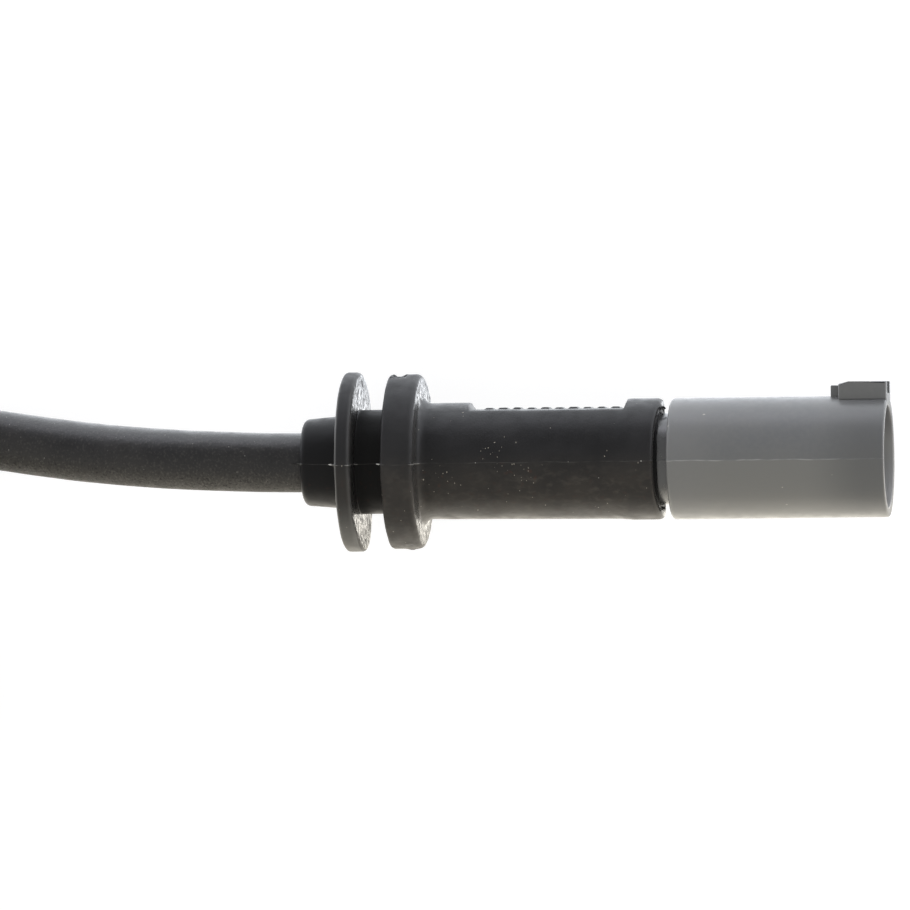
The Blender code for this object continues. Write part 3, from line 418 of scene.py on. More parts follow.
def boot_rubber():
    """Black rubber: clean and dark on the nose and in the groove, dusty and scuffed where hands reach."""
    s = Surface("boot_rubber", (0.022, 0.022, 0.022), 0.4)
    x, y, off_axis = s.x, s.y, s.off_axis()
    on_flanges = s.math("LESS_THAN", x, FLANGE_FRONT_X + GAP)
    on_collar_end = s.span(x, COLLAR_FRONT_X - 0.5 * MM, COLLAR_FRONT_X - 0.2 * MM)
    end_faces = s.times(s.faces_along_x(0.86, 0.95), s.span(off_axis, 5.2 * MM, 5.4 * MM))
    end_faces = s.times(end_faces, s.most(on_flanges, on_collar_end))
    open_side = s.span(s.math("ABSOLUTE", y), 3 * MM, 5 * MM)
    silvery = s.times(end_faces, open_side, s.math("GREATER_THAN", s.facing("X"), 0.0))
    on_rims = s.span(off_axis, 6.5 * MM, 8.3 * MM)
    on_barrel = s.span(x, GROOVE_FRONT_X - 0.2 * MM, GROOVE_FRONT_X + 0.3 * MM)
    in_groove = s.beside(x, GROOVE_MIDDLE_X, 1.4 * MM, 1.6 * MM)
    in_groove = s.times(in_groove, s.span(off_axis, 5.8 * MM, 6.6 * MM, 1.0, 0.0))
    handled = s.most(s.times(on_rims, 0.7), on_barrel)
    low_side = s.span(y, -2.5 * MM, 1.2 * MM, 1.0, 0.0)

    s.tone = s.mix(in_groove, (0.0125, 0.0124, 0.0126), (0.019, 0.0187, 0.018))
    dusty = s.mix(low_side, (0.0205, 0.02, 0.0203), (0.035, 0.031, 0.0265))
    cloud = s.span(s.noise(3.5 * MM, 4.0), 0.3, 0.7, 0.5, 1.0)
    not_wiped = s.span(s.near(WIPED_PLACES, 4 * MM), 0.0, 1.0, 1.0, 0.45)
    s.paint(dusty, handled, cloud, not_wiped)
    # Painted light: faces that look along X, on the flanges and the collar's end, painted a lighter grey.
    s.paint((0.04, 0.039, 0.037), end_faces, 0.6)
    # Painted light: the disc's rim and faces painted light grey on their lower side, towards -Y.
    on_disc = s.times(s.math("LESS_THAN", x, GROOVE_BACK_X + FIT), on_rims)
    s.paint((0.12, 0.118, 0.108), on_disc, s.span(y, -8 * MM, -3 * MM, 0.9, 0.0))

    clusters = s.near(SPECK_PLACES, 1.7 * MM)
    smears = s.span(s.noise(0.55 * MM, 6.0, (1.6, 1, 1), 0.2), 0.45, 0.7)
    smeared = s.math("MULTIPLY_ADD", s.near(SMEAR_PLACES, 2.2 * MM), 0.13, 0.1)
    s.paint((0.13, 0.115, 0.095), smears, low_side, smeared, on_barrel)
    rust = s.span(s.noise(0.7 * MM), 0.58, 0.72)
    s.paint((0.075, 0.032, 0.02), rust, s.most(clusters, 0.25), low_side, 0.45)
    strewn = s.math("MULTIPLY_ADD", low_side, 0.03, 0.006)
    crumbs = s.specks(0.24 * MM, 0.27, s.math("MULTIPLY_ADD", clusters, 0.42, strewn), (1, 1.5, 1))
    grit = s.specks(0.7 * MM, 0.11, 0.12)
    s.paint((0.33, 0.3, 0.25), s.most(crumbs, grit), handled)

    scuffs = s.span(s.noise(0.5 * MM, 5.0), 0.4, 0.7)
    s.paint((0.26, 0.26, 0.25), s.near(SCUFF_PLACES, 0.7 * MM), scuffs, 0.5)
    # Painted highlights: lighter lines along the front and back edges of the disc's rim; along the back edge
    # they also stand for the flash there.
    back_edge = s.beside(x, DISC_BACK_X, 0.14 * MM, 0.26 * MM)
    front_edge = s.beside(x, GROOVE_BACK_X, 0.1 * MM, 0.4 * MM, 0.3)
    on_disc_rim = s.span(off_axis, 8.1 * MM, 8.4 * MM, 0.0, 0.4)
    s.paint((0.2, 0.2, 0.19), s.most(back_edge, front_edge), on_disc_rim)
    # Painted highlight along the parting line's flash, strongest by the moulding's corners, where it has
    # fins.
    fins = 0.1
    for corner in BOOT_CORNERS[:-1]:
        fins = s.most(fins, s.beside(x, corner, 0.25 * MM, 0.5 * MM, 0.8))
    s.paint((0.24, 0.235, 0.22), s.parting_line_highlight(0.06 * MM, 1.5 * MM), fins)
    s.paint((0.4, 0.39, 0.36), s.near(NICK_PLACES, 0.09 * MM))
    s.paint((0.5, 0.5, 0.48), s.near(FIN_PLACES, 0.33 * MM))
    # Painted shadow: the lip in the collar's mouth painted near black, and given less gloss below, for the
    # dark gap between collar and neck.
    in_mouth = s.math("GREATER_THAN", x, COLLAR_FRONT_X - 0.6 * MM)
    on_shadow_lip = s.times(in_mouth, s.math("LESS_THAN", off_axis, 5.12 * MM))
    s.paint((0.011, 0.011, 0.011), on_shadow_lip)

    gloss = s.times(s.span(handled, 0.1, 0.9, 0.1, 0.2), s.span(in_groove, 0.0, 1.0, 1.0, 0.35))
    gloss = s.most(gloss, s.times(on_rims, 0.25))
    patches = s.noise(0.45 * MM, 4.0, (1, 1.8, 1), 1.5)
    sheen = s.times(s.span(patches, 0.42, 0.6, 0.5, 0.12), s.span(y, -1 * MM, MM, 0.6, 1.0))
    gloss = s.times(s.most(gloss, s.times(silvery, sheen)), s.span(on_shadow_lip, 0.0, 1.0, 1.0, 0.5))
    rough = s.span(s.noise(1.4 * MM, 4.0), 0.3, 0.75, 0.36, 0.5)
    rough = s.math("ADD", rough, s.times(s.math("SUBTRACT", on_rims, end_faces), 0.12))
    dull = s.times(silvery, s.span(patches, 0.4, 0.6, -0.24, 0.14))
    off_ends = s.math("SUBTRACT", 1.0, s.faces_along_x(0.6, 0.8))
    s.bump(s.times(s.noise(0.16 * MM), off_ends), 0.02 * MM, 0.4)
    s.bump(s.times(s.noise(0.8 * MM, 4.0, distortion=1.0), off_ends), 0.05 * MM, 0.3)
    s.bump(s.times(patches, silvery), 0.05 * MM)
    return s.finish(s.math("ADD", rough, dull), gloss)


def cable_jacket():
    """Matt jacket with a pebbly grain, painted lighter on its side facing -Y as painted light, with painted
    highlights and shade on the grain: light specks on it, dark pits in it.
    """
    s = Surface("cable_jacket", (0.016, 0.0155, 0.015), 0.4)
    facing = s.facing("Y")
    low_side = s.span(facing, -0.95, -0.05, 1.0, 0.0)
    coarse = s.math("MULTIPLY_ADD", low_side, 0.7, 0.3)
    grain = s.noise(0.26 * MM, 4.0, (0.8, 1, 1))
    s.tone = s.mix(s.span(s.noise(4 * MM), 0.3, 0.7), (0.0152, 0.0145, 0.0143), (0.0215, 0.0202, 0.019))
    # Painted light: the side facing -Y painted lighter and warmer.
    s.paint((0.08, 0.076, 0.067), low_side, 0.85)
    # Painted highlights on the grain's tops and painted shade in its hollows, stronger on the side facing
    # -Y.
    s.paint((0.13, 0.12, 0.105), s.span(grain, 0.53, 0.66, 0.0, 0.5), coarse)
    s.paint((0.004, 0.004, 0.004), s.span(grain, 0.3, 0.44, 0.85, 0.0), coarse)
    s.paint((0.25, 0.24, 0.22), s.specks(0.42 * MM, 0.17, 0.16), 0.6)
    s.paint((0.003, 0.003, 0.003), s.specks(0.6 * MM, 0.15, 0.2))
    s.bump(s.times(grain, coarse), 0.08 * MM)
    rough = s.math("MULTIPLY_ADD", low_side, 0.2, s.span(s.noise(1.2 * MM), 0.3, 0.7, 0.3, 0.4))
    return s.finish(rough, s.span(facing, -0.95, 0.1, 0.1, 0.38))


def shell_plastic():
    """Grey plastic: a little lighter and warmer below its parting line as painted light, polished on its
    rim, and darker on its neck as painted shade.
    """
    s = Surface("shell_plastic", (0.145, 0.148, 0.143), 0.42, specular=0.38)
    x, y, off_axis = s.x, s.y, s.off_axis()
    s.tone = s.mix(s.span(s.noise(5 * MM), 0.3, 0.7), (0.146, 0.15, 0.15), (0.161, 0.163, 0.158))
    # Painted light: the lower half, below the parting line, painted lighter and warmer.
    s.paint((0.195, 0.194, 0.179), s.span(s.off_parting(), -0.15 * MM, 0.1 * MM, 1.0, 0.0), 0.85)
    # Painted light: the shell painted lighter towards its shoulder.
    s.paint((0.2, 0.2, 0.195), s.span(x, SHOULDER_X, SHOULDER_X + 7 * MM, 0.5, 0.0))
    s.paint((0.185, 0.185, 0.176), s.span(s.noise(0.5 * MM, 4.0), 0.35, 0.7, 0.0, 0.3))
    s.paint((0.42, 0.4, 0.34), s.specks(1.1 * MM, 0.08, 0.26, (1.5, 1, 1)))
    # Painted highlight along the parting line.
    s.paint((0.36, 0.36, 0.34), s.parting_line_highlight(0.075 * MM, 1.7 * MM), 0.6)
    on_rails = s.span(off_axis, SHELL_RADIUS + 0.1 * MM, SHELL_RADIUS + 0.2 * MM)
    # Painted shade: the shell painted darker towards its mouth, off the rails.
    near_mouth = s.times(s.span(x, -3 * MM, 3.5 * MM), s.math("SUBTRACT", 0.75, on_rails))
    s.paint((0.11, 0.112, 0.11), s.most(near_mouth, 0.0))
    # Painted light and shade inside the mouth: the wall near the rim painted light grey, and painted darker
    # deeper in and towards the top.
    bore = SHELL_RADIUS - SHELL_WALL
    inside = s.span(off_axis, bore + 0.05 * MM, bore + 0.1 * MM, 1.0, 0.0)
    past_rim = s.span(x, RIM_X - 1.5 * MM, RIM_X - 0.7 * MM, 1.0, 0.0)
    inside_shade = s.most(past_rim, s.span(y, MM, 4.5 * MM, 0.0, 0.8))
    s.paint(s.mix(inside_shade, (0.34, 0.34, 0.33), (0.12, 0.122, 0.13)), inside)
    # Painted shade: the neck painted darker, where the collar and the shoulder shade it.
    neck = s.span(x, SHOULDER_X - 0.1 * MM, SHOULDER_X, 1.0, 0.0)
    s.paint((0.12, 0.12, 0.117), neck)
    polish = s.math("ADD", s.times(s.faces_along_x(), 0.15), s.times(neck, -0.1))
    rough = s.math("ADD", s.span(s.noise(0.9 * MM, 4.0), 0.3, 0.7, 0.31, 0.4), polish)
    s.bump(s.noise(0.12 * MM, 2.0), 0.012 * MM, 0.4)
    s.bump(s.noise(1.3 * MM), 0.03 * MM, 0.25)
    return s.finish(rough, s.span(neck, 0.0, 1.0, 0.38, 0.6))


def moulded(name, low, high, roughness, grain=0.14 * MM, depth=0.015 * MM):
    """A moulded plastic or silicone: a clouded colour, uneven gloss and fine grain."""
    s = Surface(name, high, roughness)
    s.tone = s.mix(s.span(s.noise(2.5 * MM, 4.0), 0.3, 0.7), low, high)
    s.bump(s.noise(grain), depth, 0.5)
    return s.finish(s.span(s.noise(0.8 * MM, 4.0), 0.3, 0.7, roughness - 0.06, roughness + 0.08))


def metal(name, low, high, roughness):
    """A metal with drawing marks along it."""
    s = Surface(name, high, roughness, metallic=1.0)
    s.tone = s.mix(s.span(s.noise(1.5 * MM, 4.0), 0.3, 0.7), low, high)
    marks = s.noise(0.12 * MM, stretch=(6, 1, 1))
    s.bump(marks, 0.002 * MM, 0.4)
    return s.finish(s.span(marks, 0.3, 0.7, roughness - 0.08, roughness + 0.1))


def in_scene(name, data):
    """An object of that data, linked to the scene."""
    made = bpy.data.objects.new(name, data)
    bpy.context.scene.collection.objects.link(made)
    return made


def made_of(name, shape, surface, sharp=38):
    """An object of that bmesh, its faces turned outwards and smooth but for its sharp edges."""
    bmesh.ops.remove_doubles(shape, verts=shape.verts, dist=0.001 * MM)
    bmesh.ops.recalc_face_normals(shape, faces=shape.faces)
    mesh = bpy.data.meshes.new(name)
    shape.to_mesh(mesh)
    shape.free()
    mesh.shade_smooth()
    mesh.set_sharp_from_angle(angle=math.radians(sharp))
    mesh.materials.append(surface)
    return in_scene(name, mesh)


def bevel(shape, edges, offset, segments=4, clamp=False):
    bmesh.ops.bevel(
        shape, geom=edges, offset=offset, segments=segments, profile=0.5, affect="EDGES", clamp_overlap=clamp
    )


def joined(name, rings, surface, loop=False):
    """A closed form through rings of equally many points. With loop the last ring joins the first."""
    shape = bmesh.new()
    rings = [[shape.verts.new(point) for point in ring] for ring in rings]
    following = rings[1:] + rings[:1] if loop else rings[1:]
    for here, there in zip(rings, following):
        for k in range(len(here)):
            m = (k + 1) % len(here)
            shape.faces.new((here[k], here[m], there[m], there[k]))
    if not loop:
        shape.faces.new(rings[0])
        shape.faces.new(rings[-1])
    return made_of(name, shape, surface)


def rounded(corners, steps=5):
    """Points of an outline through corners (a, b) or (a, b, radius of a fillet that meets both sides)."""
    points = []
    for i, (a, b, *radius) in enumerate(corners):
        here = Vector((a, b))
        if not radius:
            points.append(here)
            continue
        fillet = radius[0]
        before = (Vector(corners[i - 1][:2]) - here).normalized()
        after = (Vector(corners[(i + 1) % len(corners)][:2]) - here).normalized()
        half = before.angle(after) / 2
        centre = here + (before + after).normalized() * fillet / math.sin(half)
        start = here + before * fillet / math.tan(half) - centre
        end = here + after * fillet / math.tan(half) - centre
        turn = math.atan2(start.x * end.y - start.y * end.x, start.dot(end))
        for k in range(steps + 1):
            angle = math.atan2(start.y, start.x) + turn * k / steps
            points.append(centre + fillet * Vector((math.cos(angle), math.sin(angle))))
    return points


def fine(points, step, closed=True):
    """The same outline with a point at least every step; step is a length or a function of place."""
    made = []
    pairs = list(zip(points, points[1:] + points[:1] if closed else points[1:]))
    for a, b in pairs:
        wanted = step((a + b) / 2) if callable(step) else step
        pieces = max(1, math.ceil((b - a).length / wanted))
        made += [a.lerp(b, k / pieces) for k in range(pieces)]
    return made if closed else [*made, points[-1]]


def round_angles(sides, extra=()):
    """Angles round a moulding in degrees, with extra ones close to its parting lines."""
    even = {round(360 * k / sides, 3) for k in range(sides)}
    offsets = (-1.5, -0.9, -0.4, 0.0, 0.4, 0.9, 1.5)
    near_line = {side + PARTING_TURN + off for side in (90, 270) for off in offsets}
    return sorted(even | near_line | {a % 360 for a in extra})


def turned(name, profile, surface, angles, form=None, centre=Vector((0, 0, 0)), loop=True):
    """A solid turned about a line along X through centre. form(x, r, angle) moves its points."""
    angles = [math.radians(a) for a in angles]
    rings = []
    for x, r in profile:
        ring = []
        for angle in angles:
            u, v = form(x, r, angle) if form else (x, r)
            ring.append(centre + Vector((u, v * math.cos(angle), v * math.sin(angle))))
        rings.append(ring)
    return joined(name, rings, surface, loop)


def ease(t):
    t = min(max(t, 0.0), 1.0)
    return t * t * (3 - 2 * t)


def hill(distance, reach):
    """1 at no distance, falling smoothly to 0 at reach."""
    return 1 - ease(abs(distance) / reach)


def wave(x, y, z, size, seed=0.0):
    """Smooth noise from -1 to 1 with features of about that size."""
    return noise.noise(Vector((x / size + seed, y / size, z / size)))


def turn_between(angle, target):
    """How far apart two angles are, in degrees."""
    return abs((math.degrees(angle) - target + 180) % 360 - 180)


def parting_ridge(x, angle, width, height, fins, fin_height):
    """Height of the flash along the parting line, with small fins where the moulding has a corner."""
    off = min(turn_between(angle, 90 + PARTING_TURN), turn_between(angle, 270 + PARTING_TURN))
    if off > width:
        return 0.0
    ridge = height * (0.6 + 0.8 * wave(x, 0, 0, 1.3 * MM, 7.0))
    ridge += fin_height * max(hill(x - fin, 0.5 * MM) for fin in fins)
    return ridge * (1 - (off / width) ** 2)


def cut(target, tool, operation="DIFFERENCE"):
    """Cut a tool from a piece, or join it on, for good; the tool is used up."""
    change = target.modifiers.new("cut", "BOOLEAN")
    change.object = tool
    change.operation = operation
    change.solver = "EXACT"
    bpy.context.view_layer.update()
    mesh = bpy.data.meshes.new_from_object(target.evaluated_get(bpy.context.evaluated_depsgraph_get()))
    target.modifiers.clear()
    target.data = mesh
    mesh.shade_smooth()
    mesh.set_sharp_from_angle(angle=math.radians(32))
    bpy.data.objects.remove(tool)


def block(name, low, high, surface, rounding=0.0):
    """A block between two corners, its edges rounded if asked."""
    shape = bmesh.new()
    bmesh.ops.create_cube(shape, size=1.0)
    for vert in shape.verts:
        vert.co = Vector([(a + b) / 2 + c * (b - a) for a, b, c in zip(low, high, vert.co)])
    if rounding:
        bevel(shape, shape.edges, rounding)
    return made_of(name, shape, surface)


def plate(name, outline, z_low, z_high, surface, rounding):
    """An outline in the XY plane, given a thickness along Z and rounded edges at its two faces."""
    shape = bmesh.new()
    bottom = [shape.verts.new((x, y, z_low)) for x, y in outline]
    top = [shape.verts.new((x, y, z_high)) for x, y in outline]
    shape.faces.new(bottom)
    shape.faces.new(top)
    for i in range(len(outline)):
        j = (i + 1) % len(outline)
        shape.faces.new((bottom[i], bottom[j], top[j], top[i]))
    flat = [e for e in shape.edges if abs(e.verts[0].co.z - e.verts[1].co.z) < 1e-9]
    bevel(shape, flat, rounding)
    return made_of(name, shape, surface)


def stands_for(piece, slot, *nodes):
    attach(piece, BODY)
    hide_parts(*nodes)


# Boot

RIB_PLACES = [
    (FLAT_BACK_X + COLLAR_BACK_X) / 2 + RIB_SHIFT + (k - (RIB_COUNT - 1) / 2) * RIB_PITCH
    for k in range(RIB_COUNT)
]


def flat_level(x):
    """Height of the flat on the barrel at x: it ends in a round-topped step and in a steep hollow rise."""
    past_step = min(max((x - FLAT_BACK_X + STEP_ROUNDING) / STEP_ROUNDING, 0.0), 1.0)
    up_rise = min(max((x - RISE_X[0]) / (RISE_X[1] - RISE_X[0]), 0.0), 1.5)
    at_step = (BARREL_RADIUS + 0.03 * MM - FLAT_HEIGHT) * math.sqrt(1 - past_step**2)
    return FLAT_HEIGHT + max(at_step, (COLLAR_RADIUS + FIT - FLAT_HEIGHT) * up_rise**6)


def rib_rise(x, z):
    """Height of the plain ribs on the flat, each a little unlike the next."""
    rise = 0.0
    for i, place in enumerate(RIB_PLACES):
        half = RIB_WIDTH / 2 * (1 + 0.3 * wave(i, 0, 0, 1.7))
        along = 1 - ease((abs(x - place) - half + 0.12 * MM) / (0.22 * MM))
        across = 1 - ease((abs(z) - RIB_HALF_SPAN + 0.1 * MM) / (0.25 * MM))
        rise = max(rise, along * across * (0.85 + 0.3 * wave(i, 3, 0, 1.3)))
    return RIB_HEIGHT * rise


def torn_notch(x, angle):
    """Depth, 0 to 1, of the bite that is torn out of the top of the thick flange."""
    ragged = 0.3 * MM * wave(x, angle * FLANGE_RADIUS, 0, 0.45 * MM, 3.0)
    low, high = NOTCH_X
    inside_x = min(x - low, high - x) + ragged
    inside_turn = (NOTCH_HALF_ANGLE - turn_between(angle, 1)) / 3
    inside_turn += 0.5 * wave(x, angle * FLANGE_RADIUS, 0, 0.5 * MM)
    lip = 0.45 * hill(x - low - 1.05 * MM, 0.3 * MM)
    return max(0.0, ease(inside_x / (0.16 * MM)) * ease(inside_turn) - lip)


def boot_form(x, r, angle):
    """The turned boot's true surface: its flat and ribs, parting line, torn rim and soft unevenness."""
    in_groove = GROOVE_BACK_X - GAP < x < GROOVE_FRONT_X + GAP
    if r < COLLAR_MOUTH_RADIUS + 0.02 * MM and x > DISC_BACK_X and not in_groove:
        return x, r
    y, z = r * math.cos(angle), r * math.sin(angle)
    level = flat_level(x)
    if FLANGE_FRONT_X + FLANGE_FILLET < x < COLLAR_FRONT_X and y > level:
        aside = level * math.tan(angle)
        crown = FLAT_CROWN * (1 - aside**2 / (BARREL_RADIUS**2 - FLAT_HEIGHT**2))
        r = min(r, (level + max(crown, 0.0) + rib_rise(x, aside)) / math.cos(angle))
    r += parting_ridge(x, angle, 1.5, 0.02 * MM, BOOT_CORNERS, 0.13 * MM)
    uneven = 0.02 * MM * wave(x, y, z, 2.2 * MM) + 0.008 * MM * wave(x, y, z, 0.6 * MM, 4.0)
    if r > BARREL_RADIUS + GAP and x < FLANGE_FRONT_X + GAP:
        edge = ease((r - FLANGE_RADIUS + 1.2 * MM) / MM)
        r += edge * OUT_OF_ROUND * math.cos(angle) ** 2
        if x > GROOVE_FRONT_X - GAP:
            r -= edge * NOTCH_DEPTH * torn_notch(x, angle) * (0.8 + 0.5 * wave(x, y, z, 0.35 * MM, 3.0))
            ragged = 1 + 0.6 * wave(x, y, z, 0.25 * MM, 3.0)
            flash = hill(x - GROOVE_FRONT_X - 1.9 * MM, 0.8 * MM) * hill(turn_between(angle, 181), 6)
            r += edge * 0.12 * MM * flash * ragged
        fade = ease((r - BARREL_RADIUS - GAP) / MM)
        if abs(x - GROOVE_BACK_X) < DISC_THICKNESS / 2:
            x += edge * (DISC_FLARE * math.cos(angle) ** 2 + DISC_BEND * hill(turn_between(angle, 180), 60))
        x += fade * 0.05 * MM * wave(0, y, z, 2.4 * MM, 2.0 if x < GROOVE_FRONT_X - GAP else 11.0)
    if x > COLLAR_FRONT_X - COLLAR_MOUTH_DEPTH:
        reach = (x - COLLAR_FRONT_X + COLLAR_MOUTH_DEPTH) / COLLAR_MOUTH_DEPTH
        x += COLLAR_FLARE * reach * math.cos(angle) ** 4
        x -= COLLAR_SLANT * reach * hill(turn_between(angle, 100), 60)
    return x, r + uneven


def boot_step(place):
    """How far apart the boot's outline has points: closest at the ends of the flat."""
    if place.y < COLLAR_MOUTH_RADIUS - GAP and DISC_BACK_X < place.x:
        return MM
    if min(abs(place.x - COLLAR_BACK_X), abs(place.x - FLAT_BACK_X)) < 0.6 * MM:
        return 0.05 * MM
    return 0.13 * MM if FLAT_BACK_X - GAP < place.x < COLLAR_BACK_X + MM else 0.26 * MM


def make_shadow_lip(surface):
    """The thin ragged edge of rubber that stands out of the collar's mouth, round the neck, made very dark
    and less glossy by the boot's material: a painted shadow for the gap between collar and neck.
    """
    low, high = NECK_RADIUS + 0.08 * MM, COLLAR_MOUTH_RADIUS - 0.02 * MM
    back, front = COLLAR_FRONT_X - COLLAR_MOUTH_DEPTH, COLLAR_FRONT_X + SHADOW_LIP_REACH
    corners = [(back, low), (back, high), (front, high, 0.1 * MM), (front, low, 0.1 * MM)]

    def ragged(x, r, angle):
        y, z = r * math.cos(angle), r * math.sin(angle)
        out = (x - back) / (front - back)
        x += out * 0.035 * MM * (wave(y, z, 0, 1.4 * MM, 9.0) + 0.6 * wave(y, z, 0, 0.4 * MM, 2.0))
        return x, r + out * 0.02 * MM * wave(x, y, z, 0.5 * MM, 6.0)

    return turned("lip", fine(rounded(corners), 0.15 * MM), surface, round_angles(144), ragged)


def heading_at(path, i):
    return (path[min(i + 1, len(path) - 1)] - path[max(i - 1, 0)]).normalized()


def directions(side, up, count):
    """That many directions all round, from side by way of up."""
    turns = [2 * math.pi * k / count for k in range(count)]
    return [math.cos(turn) * side + math.sin(turn) * up for turn in turns]


def make_scraps(surface):
    """Torn curls at the collar's mouth, slivers at the nose's end and on the rims, a flake on the barrel."""
    scraps = []
    for points, radii, flat in SCRAPS:
        path = through([Vector(p) * MM for p in points], 0.12 * MM)
        rings = []
        for i, place in enumerate(path):
            along = heading_at(path, i)
            side = along.orthogonal().normalized()
            at = i / (len(path) - 1) * (len(radii) - 1)
            j = min(int(at), len(radii) - 2)
            radius = (radii[j] + (radii[j + 1] - radii[j]) * (at - j)) * MM
            ring = []
            for out in directions(side, flat * along.cross(side), 12):
                swell = 1 + 0.4 * wave(*(place + out * radius), 0.22 * MM, 1.0)
                ring.append(place + out * radius * swell)
            rings.append(ring)
        scraps.append(joined("scrap", rings, surface))
    return scraps


def add_to(piece, extras):
    """Take the meshes of small extras into a piece."""
    shape = bmesh.new()
    shape.from_mesh(piece.data)
    for extra in extras:
        shape.from_mesh(extra.data)
        bpy.data.objects.remove(extra)
    shape.to_mesh(piece.data)
    shape.free()


def make_boot(surface):
    cavity_back = SPIGOT_BACK_X - CORE_SPREAD_LENGTH + JACKET_BARE
    corners = [
        (COLLAR_FRONT_X, COLLAR_RADIUS, COLLAR_ROUNDING),
        (COLLAR_BACK_X + 0.6 * MM, COLLAR_RADIUS, 2 * MM),
        (COLLAR_BACK_X - 0.5 * MM, BARREL_FRONT_RADIUS, 2 * MM),
        (FLANGE_FRONT_X, BARREL_RADIUS, FLANGE_FILLET),
        (FLANGE_FRONT_X, FLANGE_RADIUS, FLANGE_FRONT_ROUNDING),
        (GROOVE_FRONT_X, FLANGE_RADIUS, FLANGE_BACK_ROUNDING),
        (GROOVE_FRONT_X, GROOVE_RADIUS, 0.1 * MM),
        (GROOVE_BACK_X, GROOVE_RADIUS, 0.1 * MM),
        (GROOVE_BACK_X, DISC_RADIUS, DISC_ROUNDING),
        (DISC_BACK_X, DISC_RADIUS, DISC_BACK_ROUNDING),
        (DISC_BACK_X, NOSE_BASE_RADIUS, 0.2 * MM),
        (NOSE_X, NOSE_TIP_RADIUS, NOSE_ROUNDING),
        (NOSE_X, CABLE_BORE),
        (cavity_back, CABLE_BORE),
        (cavity_back, BOOT_BORE),
        (BARB_BACK_X, BOOT_BORE),
        (BARB_FRONT_X + FIT, BARB_BORE),
        (BARB_FRONT_X + FIT, BOOT_BORE),
        (NECK_BACK_X - FIT, BOOT_BORE),
        (NECK_BACK_X - FIT, NECK_RADIUS + FIT),
        (COLLAR_FRONT_X - COLLAR_MOUTH_DEPTH, NECK_RADIUS + FIT),
        (COLLAR_FRONT_X, COLLAR_MOUTH_RADIUS, 0.1 * MM),
    ]
    flat_edge = math.degrees(math.acos(FLAT_HEIGHT / BARREL_RADIUS))
    torn = [side + off * 0.8 for side in (0, 180) for off in range(-25, 26)]
    angles = round_angles(120, (flat_edge, -flat_edge, *torn))
    boot = turned("boot", fine(rounded(corners), boot_step), surface, angles, boot_form)
    add_to(boot, [make_shadow_lip(surface), *make_scraps(surface)])
    stands_for(boot, "black_rubber", "rubber_boot")


# Plug shell


def shell_form(x, r, angle):
    inside = r < SHELL_RADIUS - SHELL_WALL / 2 and x > SHOULDER_X
    if inside or x < NECK_BACK_X:
        return x, r
    y, z = r * math.cos(angle), r * math.sin(angle)
    r += parting_ridge(x, angle, 1.3, 0.022 * MM, (SHOULDER_X,), 0.05 * MM)
    off_parting = y + z * math.tan(math.radians(PARTING_TURN))
    lower_half = 0.012 * MM * (1 - ease((off_parting + 0.05 * MM) / (0.1 * MM)))
    return x, r + lower_half + 0.01 * MM * wave(x, y, z, 2.5 * MM, 5.0)


def make_rails(surface):
    """The pair of rails at the mouth, with the stop behind them: a side view, slotted along the middle."""
    back = RIM_X - RAIL_LENGTH
    ramp_length, ramp_height = RAIL_RAMP
    root = SHELL_RADIUS - SHELL_WALL / 2
    side_view = [
        (RIM_X, root),
        (RIM_X, RAIL_TOP, 0.08 * MM),
        (back + ramp_length, RAIL_TOP, 0.3 * MM),
        (back, RAIL_TOP - ramp_height, 0.12 * MM),
        (back, root),
    ]
    stop_view = [
        (back + GAP, root),
        (back + GAP, STOP_TOP),
        (back - STOP_LENGTH, STOP_TOP, 0.12 * MM),
        (back - STOP_LENGTH, root),
    ]
    half = RAIL_WIDTH / 2
    rails = plate("rails", rounded(side_view, steps=3), -half, half, surface, RAIL_ROUNDING)
    slot_half = RAIL_SLOT_WIDTH / 2
    slot_low, slot_high = (back - GAP, RAIL_SLOT_FLOOR, -slot_half), (RIM_X + MM, RAIL_TOP + MM, slot_half)
    cut(rails, block("slot", slot_low, slot_high, surface))
    stop = plate("stop", rounded(stop_view, steps=3), -STOP_HALF, STOP_HALF, surface, 0.1 * MM)
    cut(rails, stop, "UNION")
    return rails


